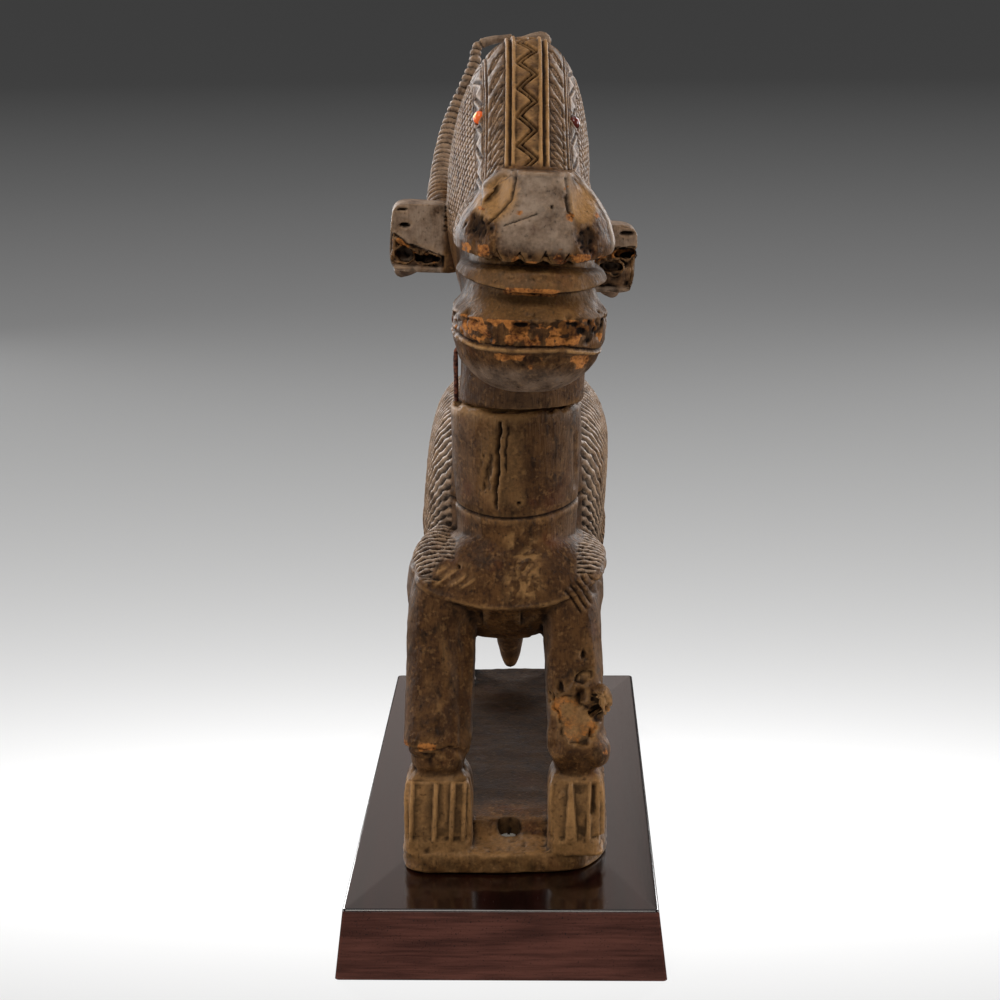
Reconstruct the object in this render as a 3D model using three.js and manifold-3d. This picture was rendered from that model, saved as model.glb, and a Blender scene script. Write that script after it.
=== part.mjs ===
// A horizontal antelope headdress carved in two pieces of wood, standing on a mahogany plinth.
// Millimetres, +Z up. X runs to the viewer's right and Y away from the viewer, so the muzzle
// points along -Y. The origin is the centre of the plinth's underside.

import * as THREE from 'three';
import { mergeVertices } from 'three/addons/utils/BufferGeometryUtils.js';
import Module from 'manifold-3d';

const wasm = await Module();
wasm.setup();

// Driving dimensions

const seatGap = 0.3;      // clearance between pieces that touch
const overlap = 6;        // how far one carved form runs into the next

const plinth = { width: 130, depth: 302, height: 30, flare: 3.6 };

const platform = {
  width: 88, length: 232, thickness: 16, corner: 13, x: 1, y: -1,
  shelf: 11, shelfDepth: 16, ramp: 9,   // the worn front between the hooves
};

const screw = { head: 7.8, headHeight: 3, shank: 4, grip: 16, play: 0.4, seat: 5.5, fromFront: 21, x: 1.2 };

const foot = { base: 10, top: 40.2, depth: 30, setback: 1.2, flute: 2.6, flutes: 3, lean: 2.5 };

const legs = {
  top: 124,               // platform's underside to the top of the leg, inside the shoulder
  front: [{ x: -28.5, halfWidth: 14.5 }, { x: 30.5, halfWidth: 12.2 }],
  rear: [{ x: -32, halfWidth: 11 }, { x: 30, halfWidth: 11 }],
};

const trunk = { front: -85, rear: 102, halfWidth: 41.5, back: 201, belly: 93, lean: 5.3 };

const chest = { front: -99, lip: 113, lipRise: 11, halfWidth: 42, bottom: 92, top: 142 };

const neck = { radius: 27.8, x: 5.3, y: -67, top: 197.2, waist: 25.4, line: 154, lineDepth: 1.2 };

const crack = { width: 1.8, depth: 4.5, top: 193, length: 37, x: -6 };

const pendant = { length: 23, width: 14, y: -46 };

const tail = { length: 92, thickness: 11 };

const head = {
  x: 9, y: -68, z: 290,   // the pivot, in the part's frame
  yaw: 5.2, roll: 3.4,    // degrees, towards the viewer's right
  halfWidth: 30.5,
  lipHalfWidth: 32.2, lipShift: 2.2,
  muzzle: 66,             // pivot to the front of the lips
  brow: 36,               // height of the snout's rim over the pivot
  crest: 88,              // height of the crest over the pivot
  rear: 72,               // pivot to the back of the skull
};

const stub = { radius: 26.4, x: 3.3, height: 30 };

const ear = { length: 25, height: 31, depth: 34, wall: 3, hollow: 11, drop: { left: 0, right: 5.5 } };

const horn = { base: 8.6, tip: 3.6, point: 1.7, rings: 25, plain: 0.8, groove: 0.84, sides: 7, spread: 30 };

const bands = { x: -3.2, zigzag: 5.2, zigzags: 11, border: 7.6, outer: 18, ridge: 0.9 };

const eye = { radius: 2.6, depth: 2.4, dome: 1.1, play: 0.3 };

const staple = { radius: 1, rise: 21, leg: 7, bend: 2.2, play: 0.3 };

// Solid helpers

function solid(geometry) {
  const bare = geometry.clone();
  for (const name of Object.keys(bare.attributes)) {
    if (name !== 'position') bare.deleteAttribute(name);
  }
  const merged = mergeVertices(bare, 1e-4);
  const position = merged.getAttribute('position').array;
  const triangles = [];
  const all = merged.index.array;
  for (let i = 0; i < all.length; i += 3) {
    const [a, b, c] = [all[i], all[i + 1], all[i + 2]];
    if (a !== b && b !== c && c !== a) triangles.push(a, b, c);
  }
  if (signedVolume(position, triangles) < 0) triangles.reverse();
  return new wasm.Manifold(new wasm.Mesh({
    numProp: 3,
    vertProperties: new Float32Array(position),
    triVerts: new Uint32Array(triangles),
  }));
}

function signedVolume(position, triangles) {
  const at = (i) => new THREE.Vector3().fromArray(position, 3 * i);
  let volume = 0;
  for (let i = 0; i < triangles.length; i += 3) {
    const [a, b, c] = [at(triangles[i]), at(triangles[i + 1]), at(triangles[i + 2])];
    volume += a.dot(b.cross(c)) / 6;
  }
  return volume;
}

function toGeometry(body) {
  const mesh = body.getMesh();
  const geometry = new THREE.BufferGeometry();
  geometry.setAttribute('position', new THREE.BufferAttribute(mesh.vertProperties.slice(), 3));
  geometry.setIndex(new THREE.BufferAttribute(mesh.triVerts.slice(), 1));
  geometry.computeVertexNormals();
  return geometry;
}

const join = (...bodies) => bodies.reduce((whole, next) => whole.add(next));

const cut = (body, ...tools) => tools.reduce((whole, tool) => whole.subtract(tool), body);

// A closed skin over rings of points, with a fan over each end.
function loft(rings) {
  const count = rings[0].length;
  const points = rings.flat();
  const index = [];
  for (let i = 0; i + 1 < rings.length; i++) {
    for (let j = 0; j < count; j++) {
      const a = i * count + j;
      const b = i * count + (j + 1) % count;
      index.push(a, b, b + count, a, b + count, a + count);
    }
  }
  for (const [start, turn] of [[0, 1], [(rings.length - 1) * count, -1]]) {
    const centre = new THREE.Vector3();
    for (let j = 0; j < count; j++) centre.addScaledVector(points[start + j], 1 / count);
    const hub = points.push(centre) - 1;
    for (let j = 0; j < count; j++) {
      const a = start + j;
      const b = start + (j + 1) % count;
      if (turn > 0) index.push(b, a, hub);
      else index.push(a, b, hub);
    }
  }
  const geometry = new THREE.BufferGeometry().setFromPoints(points);
  geometry.setIndex(index);
  return solid(geometry);
}

// Signed power, the building stone of a superellipse.
const power = (value, exponent) => Math.sign(value) * Math.abs(value) ** exponent;

// A squared oval as [u, v] pairs on unit axes, with the given number of points.
function oval(count, squareness) {
  return Array.from({ length: count }, (_, i) => {
    const angle = 2 * Math.PI * (i + 0.5) / count;
    return [power(Math.cos(angle), 2 / squareness), power(Math.sin(angle), 2 / squareness)];
  });
}

// A smooth value along a short list of [place, value] stations.
function along(stations) {
  const places = stations.map(([place]) => place);
  return (place) => {
    if (place <= places[0]) return stations[0][1];
    const last = places.length - 1;
    if (place >= places[last]) return stations[last][1];
    const i = places.findIndex((next) => next > place) - 1;
    const value = (k) => stations[Math.min(Math.max(k, 0), last)][1];
    const where = (k) => places[Math.min(Math.max(k, 0), last)];
    const span = places[i + 1] - places[i];
    const slope = (k) => (value(k + 1) - value(k - 1)) / (where(k + 1) - where(k - 1)) * span;
    const t = (place - places[i]) / span;
    return THREE.MathUtils.lerp(value(i), value(i + 1), t * t * (3 - 2 * t))
      + slope(i) * t * (1 - t) ** 2 - slope(i + 1) * t * t * (1 - t);
  };
}

const steps = (from, to, count) =>
  Array.from({ length: count + 1 }, (_, i) => THREE.MathUtils.lerp(from, to, i / count));

// A round bar along points, its radius given for each, with side as its level direction.
function sweep(points, radii, sides, side = new THREE.Vector3(1, 0, 0)) {
  const rings = points.map((point, i) => {
    const before = points[Math.max(i - 1, 0)];
    const after = points[Math.min(i + 1, points.length - 1)];
    const ahead = after.clone().sub(before).normalize();
    const across = side.clone().addScaledVector(ahead, -side.dot(ahead)).normalize();
    const up = new THREE.Vector3().crossVectors(ahead, across);
    return oval(sides, 2).map(([u, v]) => point.clone()
      .addScaledVector(across, u * radii[i])
      .addScaledVector(up, v * radii[i]));
  });
  return loft(rings);
}

const ball = (centre, size, sides, rows) => solid(
  new THREE.SphereGeometry(1, sides, rows).scale(...size).translate(...centre));

const block = (size, centre) => solid(new THREE.BoxGeometry(...size).translate(...centre));

// A round peg standing on Z, from z0 to z1.
const peg = (radius, x, y, z0, z1, sides = 16) => solid(
  new THREE.CylinderGeometry(radius, radius, z1 - z0, sides)
    .rotateX(Math.PI / 2).translate(x, y, (z0 + z1) / 2));

// Plinth

const screwSpot = {
  x: platform.x + screw.x,
  y: platform.y - platform.length / 2 + screw.fromFront,
};

function makePlinth() {
  const ring = (grow, z) => [[-1, -1], [1, -1], [1, 1], [-1, 1]].map(([sx, sy]) =>
    new THREE.Vector3(sx * (plinth.width / 2 + grow), sy * (plinth.depth / 2 + grow), z));
  const slab = loft([ring(plinth.flare, 0), ring(0, plinth.height)]);
  const bore = screw.shank / 2 + screw.play;
  const { x, y } = screwSpot;
  return cut(slab, peg(bore, x, y, plinth.height - screw.grip - screw.play, plinth.height + 1));
}

// Body, in a frame whose origin is the middle of the platform's underside

const deck = platform.thickness;
const frontEdge = -platform.length / 2;

// The cutter that lowers the platform's front to a shelf and slopes it up to the deck.
function shelfCutter() {
  const outline = new THREE.Shape();
  const rampFoot = frontEdge + platform.shelfDepth;
  outline.moveTo(frontEdge - overlap, platform.shelf - 2);
  outline.lineTo(frontEdge + 2, platform.shelf - 1);
  outline.lineTo(rampFoot, platform.shelf);
  outline.lineTo(rampFoot + platform.ramp, deck + 0.2);
  outline.lineTo(frontEdge - overlap, deck + overlap);
  const span = platform.width + 2 * overlap;
  const prism = new THREE.ExtrudeGeometry(outline, { depth: span, bevelEnabled: false });
  return solid(prism.rotateY(Math.PI / 2).rotateX(Math.PI / 2).translate(-span / 2, 0, 0));
}

function makePlatform() {
  const halfWidth = platform.width / 2;
  const halfLength = platform.length / 2;
  const corner = platform.corner;
  const outline = new THREE.Shape();
  outline.moveTo(-halfWidth + corner, -halfLength);
  outline.quadraticCurveTo(0, -halfLength - 1.5, halfWidth - 1.6 * corner, -halfLength + 2);
  outline.quadraticCurveTo(halfWidth - 0.4 * corner, -halfLength + 3, halfWidth, -halfLength + 2 * corner);
  outline.lineTo(halfWidth, halfLength - corner);
  outline.quadraticCurveTo(halfWidth, halfLength, halfWidth - corner, halfLength);
  outline.lineTo(-halfWidth + corner, halfLength);
  outline.quadraticCurveTo(-halfWidth, halfLength, -halfWidth, halfLength - corner);
  outline.lineTo(-halfWidth, -halfLength + corner);
  outline.quadraticCurveTo(-halfWidth, -halfLength, -halfWidth + corner, -halfLength);
  const bevel = 1.2;
  const slab = new THREE.ExtrudeGeometry(outline, {
    depth: deck - 2 * bevel, bevelThickness: bevel, bevelSize: bevel, bevelOffset: -bevel,
    bevelSegments: 1, curveSegments: 5,
  });
  const hole = { x: screwSpot.x - platform.x, y: screwSpot.y - platform.y };
  return cut(
    solid(slab.translate(0, 0, bevel)),
    shelfCutter(),
    peg(screw.head / 2 + 2 * screw.play, hole.x, hole.y, screw.seat, deck + 1),
    peg(screw.shank / 2 + screw.play, hole.x, hole.y, -1, deck),
  );
}

// A fluted hoof block: its front edge is scalloped and leans back towards its top.
function makeFoot(x, halfWidth, y, facing) {
  const ring = (z, lean) => {
    const front = [];
    const count = 4 * foot.flutes;
    for (let i = 0; i <= count; i++) {
      const across = i / count;
      const scoop = Math.abs(Math.sin(Math.PI * across * foot.flutes));
      front.push(new THREE.Vector3(
        x + (2 * across - 1) * (halfWidth - 0.3 * lean),
        y + facing * (foot.depth / 2 - lean - foot.flute * scoop), z));
    }
    const back = [1, -1].map((s) => new THREE.Vector3(x + s * halfWidth, y - facing * foot.depth / 2, z));
    return [...front, ...back];
  };
  return loft([
    ring(foot.base, 0),
    ring(THREE.MathUtils.lerp(foot.base, foot.top, 0.86), foot.lean),
    ring(foot.top, foot.lean + 2),
  ]);
}

// A bent leg: narrow over the hoof, swelling at the knee, and deep where it enters the trunk.
function makeLeg(x, halfWidth, stations) {
  const outline = oval(12, 2.8);
  return loft(stations.map(({ up, y, wide, deep, shift = 0 }) => outline.map(([u, v]) =>
    new THREE.Vector3(x + shift + u * wide * halfWidth, y + v * deep, up * legs.top))));
}

const frontFootY = frontEdge + foot.setback + foot.depth / 2;
const rearFootY = platform.length / 2 - foot.setback - foot.depth / 2;

function makeFrontLeg({ x, halfWidth }) {
  const inward = -Math.sign(x);
  return join(
    makeFoot(x, halfWidth, frontFootY, -1),
    makeLeg(x, halfWidth, [
      { up: 0.3, y: frontFootY + 3, wide: 0.66, deep: 9 },
      { up: 0.37, y: frontFootY + 2, wide: 0.78, deep: 12 },
      { up: 0.43, y: frontFootY + 1, wide: 0.98, deep: 14.5 },
      { up: 0.49, y: frontFootY + 2.5, wide: 1, deep: 14.5 },
      { up: 0.68, y: frontFootY + 14, wide: 1.02, deep: 16, shift: 0.8 * inward },
      { up: 0.86, y: frontFootY + 23, wide: 1.03, deep: 20, shift: 1.6 * inward },
      { up: 1.0, y: frontFootY + 31, wide: 0.9, deep: 25, shift: 3 * inward },
    ]),
  );
}

function makeRearLeg({ x, halfWidth }) {
  const inward = -Math.sign(x);
  return join(
    makeFoot(x, halfWidth, rearFootY, -1),
    makeLeg(x, halfWidth, [
      { up: 0.3, y: rearFootY + 2, wide: 0.7, deep: 9 },
      { up: 0.38, y: rearFootY + 3, wide: 0.8, deep: 11 },
      { up: 0.46, y: rearFootY + 3, wide: 0.98, deep: 12.5 },
      { up: 0.55, y: rearFootY - 2, wide: 1, deep: 14 },
      { up: 0.75, y: rearFootY - 13, wide: 1.1, deep: 20, shift: 0.5 * inward },
      { up: 0.98, y: rearFootY - 26, wide: 1.2, deep: 26, shift: 2 * inward },
    ]),
  );
}

// The arched trunk, drawn through squared ovals that stand across its length.
function makeTrunk() {
  const length = trunk.rear - trunk.front;
  const tall = trunk.back - trunk.belly;
  const top = along([[0, 0.78], [0.16, 0.88], [0.28, 0.96], [0.44, 1], [0.62, 0.95], [0.8, 0.82],
    [0.93, 0.62], [1, 0.44]]);
  const bottom = along([[0, 0.3], [0.12, 0.03], [0.3, 0], [0.6, 0.03], [0.85, 0.06], [1, 0.2]]);
  const width = along([[0, 0.55], [0.1, 0.84], [0.25, 0.95], [0.45, 1], [0.7, 1], [0.88, 0.86],
    [1, 0.45]]);
  const outline = oval(20, 2.8);
  return loft(steps(0, 1, 12).map((share) => {
    const y = trunk.front + share * length;
    const high = trunk.belly + tall * top(share);
    const low = trunk.belly + tall * bottom(share);
    const middle = THREE.MathUtils.lerp(low, high, 0.5);
    return outline.map(([u, v]) => {
      const z = middle + v * (high - low) / 2;
      const lean = trunk.lean * THREE.MathUtils.clamp((z - trunk.belly) / (0.7 * tall), 0, 1);
      return new THREE.Vector3(lean + u * trunk.halfWidth * width(share), y, z);
    });
  }));
}

// The chest swells from the foot of the neck to a lip that climbs towards its sides, and rolls
// under it to the belly.
function makeChest() {
  const outline = oval(18, 3);
  const width = along([[chest.bottom, 0.5], [chest.lip - 9, 0.82], [chest.lip - 1, 0.97], [chest.lip, 1],
    [chest.lip + 6, 0.97], [chest.lip + 14, 0.84], [chest.top - 7, 0.68], [chest.top, 0.52]]);
  const bulge = along([[chest.bottom, 0.35], [chest.lip - 9, 0.76], [chest.lip - 1, 0.96], [chest.lip, 1],
    [chest.lip + 14, 0.93], [chest.top, 0.78]]);
  const middle = neck.y + 6;
  const levels = [chest.bottom, chest.lip - 15, chest.lip - 9, chest.lip - 1, chest.lip, chest.lip + 6,
    chest.lip + 14, chest.top - 7, chest.top];
  return loft(levels.map((z) => {
    const climb = chest.lipRise * Math.max(0, 1 - Math.abs(z - chest.lip) / (chest.top - chest.lip));
    return outline.map(([u, v]) => new THREE.Vector3(
      THREE.MathUtils.mapLinear(z, chest.bottom, neck.line, 0.5, neck.x) + u * chest.halfWidth * width(z),
      middle + v * (middle - chest.front) * bulge(z),
      z + climb * u * u));
  }));
}

function makeNeck() {
  const profile = [[0, chest.lip], [neck.waist, chest.lip], [neck.waist, neck.line - 30]];
  profile.push([neck.waist + 0.6, neck.line - 1.1]);
  profile.push([neck.waist + 0.6 - neck.lineDepth, neck.line]);
  profile.push([neck.waist + 1.2, neck.line + 1.1], [neck.radius, neck.line + 26]);
  profile.push([neck.radius, neck.top - 1.5], [neck.radius - 1.2, neck.top], [0, neck.top]);
  const column = new THREE.LatheGeometry(profile.map(([r, z]) => new THREE.Vector2(r, z)), 24);
  return solid(column.rotateX(Math.PI / 2).translate(neck.x, neck.y, 0));
}

function makeTail() {
  const rump = trunk.back - 0.3 * (trunk.back - trunk.belly);
  const path = new THREE.CatmullRomCurve3([
    new THREE.Vector3(trunk.lean, trunk.rear - 22, rump),
    new THREE.Vector3(trunk.lean, trunk.rear + 1, rump - 0.2 * tail.length),
    new THREE.Vector3(trunk.lean - 1, trunk.rear + 7, rump - 0.55 * tail.length),
    new THREE.Vector3(trunk.lean - 2, trunk.rear + 4, rump - tail.length),
  ]);
  const points = path.getPoints(7);
  const radii = steps(1, 0.5, 7).map((share) => share * tail.thickness / 2);
  return sweep(points, radii, 8);
}

function makePendant() {
  const outline = oval(10, 2.2);
  const stations = [[-overlap, 0.62], [0, 0.5], [0.4 * pendant.length, 0.42],
    [0.75 * pendant.length, 0.3], [pendant.length, 0.14]];
  return loft(stations.map(([down, share]) => outline.map(([u, v]) => new THREE.Vector3(
    1.5 + u * share * pendant.width, pendant.y + v * share * pendant.width,
    trunk.belly - down))));
}

function makeBody() {
  const shoulders = legs.front.map(({ x, halfWidth }) => ball(
    [x - Math.sign(x) * 4, frontFootY + 38, 0.905 * legs.top],
    [halfWidth + 4.3, 29, 28], 14, 8));
  const haunches = legs.rear.map(({ x }) => ball(
    [x - Math.sign(x) * 9 + 2, rearFootY - 26, 0.86 * legs.top],
    [24, 31, 36], 14, 8));
  const whole = join(
    makePlatform(),
    ...legs.front.map(makeFrontLeg), ...legs.rear.map(makeRearLeg),
    makeTrunk(), ...shoulders, ...haunches,
    makeChest(), makeNeck(), makeTail(), makePendant(),
  );
  const split = block([crack.width, 2 * crack.depth, crack.length],
    [neck.x + crack.x, neck.y - neck.radius, crack.top - crack.length / 2]);
  return cut(whole, split, stapleHoleInNeck());
}

// Head, in a frame whose origin is its pivot over the neck

const turn = new THREE.Matrix4().makeRotationFromEuler(new THREE.Euler(
  0, THREE.MathUtils.degToRad(head.roll), THREE.MathUtils.degToRad(head.yaw), 'ZYX'));
const headPlace = new THREE.Matrix4().makeTranslation(head.x, head.y, head.z).multiply(turn);
const bodyPlace = new THREE.Vector3(platform.x, platform.y, plinth.height + seatGap);
const partToHead = headPlace.clone().invert();

const skullTop = along([
  [-0.79, 0.41], [-0.5, 0.575], [-0.2, 0.75], [0.1, 0.91], [0.28, 0.98], [0.42, 1], [0.6, 0.97],
  [0.8, 0.84], [0.95, 0.64], [1.09, 0.44]].map(([y, z]) => [y * head.muzzle, z * head.crest]));
const skullWidth = along([[-0.79, 0.7], [-0.5, 0.74], [0, 0.88], [0.4, 0.98], [0.65, 1], [0.85, 0.9], [1.09, 0.62]]
  .map(([y, w]) => [y * head.muzzle, w * head.halfWidth]));
const skullWaist = 18;    // height over the pivot at which the skull is widest
const archShape = 2.3;

// Height of the skull's arched top at a place along and across the head.
function skullHeight(y, x) {
  const rise = skullTop(y) - skullWaist;
  const across = Math.min(Math.abs(x) / skullWidth(y), 1);
  return skullWaist + rise * (1 - across ** archShape) ** (1 / archShape);
}

function skullRings(from, to, count, bottomAt) {
  const outline = oval(20, archShape);
  return steps(from, to, count).map((y) => outline.map(([u, v]) => new THREE.Vector3(
    u * skullWidth(y), y,
    skullWaist + (v > 0 ? v * (skullTop(y) - skullWaist) : v * (skullWaist - bottomAt(y))))));
}

function makeSkull() {
  const upper = skullRings(-0.79 * head.muzzle, head.rear, 11,
    along([[-0.79 * head.muzzle, 10], [-10, 0], [0.6 * head.rear, -22], [head.rear, 2]]));
  const lower = skullRings(-0.42 * head.muzzle, 0.55 * head.rear, 4,
    along([[-0.42 * head.muzzle, -44], [0, -48], [0.55 * head.rear, -26]]));
  return join(loft(upper), loft(lower));
}

// Plan rings of the muzzle: each is [height, half width, front], the front as the distance
// from the pivot, and teeth gives a saw-tooth lower edge its depth.
function muzzleLayer(levels, teeth = 0) {
  const count = 24;
  const back = 12;
  return loft(levels.map(([z, halfWidth, front], level) => {
    const middle = -0.42 * head.muzzle;
    return oval(count, 2.5).map(([u, v], i) => {
      const tooth = level === 0 && i % 2 === 0 ? teeth : 0;
      const reach = v < 0 ? front + middle : back - middle;
      return new THREE.Vector3(head.lipShift + u * halfWidth, middle + v * reach, z + tooth);
    });
  }));
}

function makeMuzzle() {
  const wide = head.lipHalfWidth;
  const far = head.muzzle;
  const upperLip = muzzleLayer([
    [3, wide - 0.5, far - 0.6], [11, wide, far], [19, wide - 2.5, far - 2],
    [27, wide - 7.5, far - 5], [32, wide - 12, far - 7], [head.brow + 1.5, wide - 16.5, far - 9]], 5);
  const tongue = muzzleLayer([
    [-10, wide - 6, far - 8], [-7, wide - 2.6, far - 3.4], [-2.5, wide - 2, far - 2.6],
    [0, wide - 4, far - 5]]);
  const jaw = muzzleLayer([
    [-53, 5, 0.55 * far], [-50.5, 14.5, 0.74 * far], [-46, 22, far - 10], [-40, 27.5, far - 5],
    [-33.4, wide - 2.6, far - 2.4], [-32.2, wide - 3.4, far - 3.4], [-31, wide - 1.4, far - 1.2],
    [-19.5, wide - 0.4, far], [-13, wide - 5.5, far - 8]]);
  const throat = muzzleLayer([[-20, wide - 7, far - 11], [12, wide - 7, far - 11]]);
  return join(upperLip, tongue, jaw, throat);
}

// Raised carving on the forehead: a zigzag between border lines that run up to the crest.
function makeBands() {
  const from = -0.7 * head.muzzle;
  const to = 0.4 * head.muzzle;
  const on = (y, x) => new THREE.Vector3(bands.x + x, y, skullHeight(y, bands.x + x) - 0.1);
  const lines = [-1, 1].flatMap((side) => [bands.border, bands.outer].map((x) => {
    const points = steps(from, to, 7).map((y) => on(y, side * x));
    return sweep(points, points.map(() => bands.ridge), 4);
  }));
  const stretch = (to - from) / bands.zigzags;
  const corners = Array.from({ length: bands.zigzags + 1 }, (_, i) =>
    on(from + i * stretch, (i % 2 ? 1 : -1) * bands.zigzag));
  const strokes = corners.slice(1).map((corner, i) =>
    sweep([corners[i], corner], [bands.ridge, bands.ridge], 4));
  return join(...lines, ...strokes);
}

// A scoop-shaped ear: square at its outer end, hollow below a broad upper wall.
function makeEar(side, drop) {
  const inner = 0.72 * head.halfWidth;
  const outer = head.halfWidth + ear.length - 1;
  const y0 = 40;
  const ring = (y, high, reach) => oval(12, 3.4).map(([u, v]) => new THREE.Vector3(
    side * THREE.MathUtils.lerp(inner, outer - reach, (1 + u) / 2), y,
    -drop + v * ear.height / 2 * high - (1 - high) * 7));
  const shell = loft([
    ring(y0, 0.96, 0), ring(y0 + 0.4 * ear.depth, 1, 0.5), ring(y0 + 0.75 * ear.depth, 0.8, 3),
    ring(y0 + ear.depth, 0.45, 8)]);
  const room = ear.length - ear.wall;
  const floor = -drop - ear.height / 2 + ear.wall;
  const hollow = block([room, ear.depth, ear.hollow],
    [side * (outer - ear.wall - room / 2), y0, floor + ear.hollow / 2]);
  const notches = [0, 1].map((i) => block([9 + 3 * i, 4, 1.4],
    [side * (outer - 6 - 1.5 * i), y0 + 1, -drop + ear.height / 2 - 5 - 6 * i]));
  return cut(shell, hollow, ...notches);
}

// A ringed horn that leaves the head low behind the ear, runs back and curves up to a plain point
// that hooks inwards.
function makeHorn(side, bend, hook) {
  const path = new THREE.CatmullRomCurve3([
    new THREE.Vector3(side * (horn.spread - 12), 44, -4),
    new THREE.Vector3(side * (horn.spread - 1), 62, 8),
    new THREE.Vector3(side * (horn.spread - 0.5), 88, 24),
    new THREE.Vector3(side * (horn.spread - 4), 110, 46),
    new THREE.Vector3(side * (bend.x + 2), 119, bend.z - 9),
    new THREE.Vector3(side * bend.x, 122, bend.z),
    new THREE.Vector3(side * (bend.x - hook.reach), 122, bend.z + hook.rise),
  ]);
  const count = 2 * horn.rings;
  const points = path.getSpacedPoints(count);
  const girth = along([[0, horn.base], [0.4, 0.66 * horn.base], [horn.plain, horn.tip], [1, horn.point]]);
  const radii = points.map((_, i) =>
    girth(i / count) * (i % 2 && i / count < horn.plain ? horn.groove : 1));
  return sweep(points, radii, horn.sides, new THREE.Vector3(0, 1, 0));
}

function makeStub() {
  const seat = new THREE.Vector3(neckTop.x, neckTop.y, neckTop.z + seatGap).applyMatrix4(partToHead);
  const column = peg(stub.radius, stub.x, 0, seat.z - 8, seat.z + stub.height, 28);
  return cut(column, belowSeat());
}

const neckTop = new THREE.Vector3(neck.x, neck.y, neck.top).add(bodyPlace);

// Everything below the flat seat on the neck, seen from the turned head.
function belowSeat() {
  const size = 200;
  const box = new THREE.BoxGeometry(size, size, size)
    .translate(neckTop.x, neckTop.y, neckTop.z + seatGap - size / 2);
  return solid(box.applyMatrix4(partToHead));
}

// Eyes

const eyeSpots = [
  { name: 'eye_left', x: -21, y: -4 },
  { name: 'eye_right', x: 18.2, y: -12 },
];

// A matrix that stands a piece on the skull's surface, its Z along the surface's outward normal.
function onSkull({ x, y }) {
  const step = 0.5;
  const here = new THREE.Vector3(x, y, skullHeight(y, x));
  const alongHead = new THREE.Vector3(x, y + step, skullHeight(y + step, x)).sub(here);
  const acrossHead = new THREE.Vector3(x + step, y, skullHeight(y, x + step)).sub(here);
  const normal = acrossHead.cross(alongHead).normalize();
  const stand = new THREE.Quaternion().setFromUnitVectors(new THREE.Vector3(0, 0, 1), normal);
  return new THREE.Matrix4().compose(here, stand, new THREE.Vector3(1, 1, 1));
}

function makeEye() {
  const profile = [[0, -eye.depth], [eye.radius, -eye.depth], [eye.radius, 0],
    [0.7 * eye.radius, 0.7 * eye.dome], [0, eye.dome]];
  const bead = new THREE.LatheGeometry(profile.map(([r, z]) => new THREE.Vector2(r, z)), 14);
  return solid(bead.rotateX(Math.PI / 2));
}

const socket = (spot) => solid(
  new THREE.CylinderGeometry(eye.radius + eye.play, eye.radius + eye.play, 2 * (eye.depth + eye.play), 14)
    .rotateX(Math.PI / 2).applyMatrix4(onSkull(spot)));

// Iron staple that holds the head to the neck, on the viewer's left

const stubSide = new THREE.Vector3(stub.x, 0, -50).applyMatrix4(headPlace);
const stapleX = stubSide.x - stub.radius - staple.bend;

function staplePoints() {
  const y = stubSide.y;
  const seat = neckTop.z;
  const top = seat + staple.rise;
  return [
    [stapleX + staple.bend + staple.leg, top + 1], [stapleX + staple.bend, top + 1],
    [stapleX + 0.4, top], [stapleX, top - 2], [stapleX, seat], [stapleX, seat - staple.leg],
  ].map(([x, z]) => new THREE.Vector3(x, y, z));
}

function makeStaple(grow = 0) {
  const points = staplePoints();
  points[0].x += grow;
  points[points.length - 1].z -= grow;
  return sweep(points, points.map(() => staple.radius + grow), 8, new THREE.Vector3(0, 1, 0));
}

const stapleHoleInNeck = () => makeStaple(staple.play)
  .translate([-bodyPlace.x, -bodyPlace.y, -bodyPlace.z]);

function stapleHoleInHead() {
  const geometry = toGeometry(makeStaple(staple.play));
  return solid(geometry.applyMatrix4(partToHead));
}

function makeHead() {
  const whole = join(
    makeSkull(), makeMuzzle(), makeStub(), makeBands(),
    makeEar(-1, ear.drop.left), makeEar(1, ear.drop.right),
    makeHorn(-1, { x: 17.6, z: 77.5 }, { reach: 14, rise: 8.5 }),
    makeHorn(1, { x: 16.8, z: 88.5 }, { reach: 11, rise: -3.5 }),
  );
  return cut(whole, ...eyeSpots.map(socket), stapleHoleInHead());
}

// Screw that holds the platform to the plinth

function makeScrew() {
  const seat = plinth.height + seatGap + screw.seat + seatGap;
  const { x, y } = screwSpot;
  const slot = block([1.2, screw.head + 1, 1.6], [x, y, seat + screw.headHeight]);
  return cut(join(
    peg(screw.head / 2, x, y, seat, seat + screw.headHeight),
    peg(screw.shank / 2, x, y, plinth.height - screw.grip, seat + 1, 12),
  ), slot);
}

// The part

function mesh(name, body, colour, roughness, metalness = 0) {
  const material = new THREE.MeshStandardMaterial({ color: colour, roughness, metalness });
  const piece = new THREE.Mesh(toGeometry(body), material);
  piece.name = name;
  return piece;
}

const group = new THREE.Group();
group.add(mesh('plinth', makePlinth(), 0x3a1712, 0.2));

const body = mesh('body', makeBody(), 0x4a3020, 0.5);
body.position.copy(bodyPlace);
group.add(body);

const headGroup = new THREE.Group();
headGroup.position.setFromMatrixPosition(headPlace);
headGroup.rotation.setFromRotationMatrix(headPlace);
headGroup.add(mesh('head', makeHead(), 0x4a3020, 0.5));
for (const spot of eyeSpots) {
  const bead = mesh(spot.name, makeEye(), 0x8c1d10, 0.15);
  bead.position.setFromMatrixPosition(onSkull(spot));
  bead.rotation.setFromRotationMatrix(onSkull(spot));
  headGroup.add(bead);
}
group.add(headGroup);

group.add(mesh('neck_staple', makeStaple(), 0x5a2a18, 0.8, 0.6));
group.add(mesh('mounting_screw', makeScrew(), 0xb8b8b8, 0.3, 1));

export default group;
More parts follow.
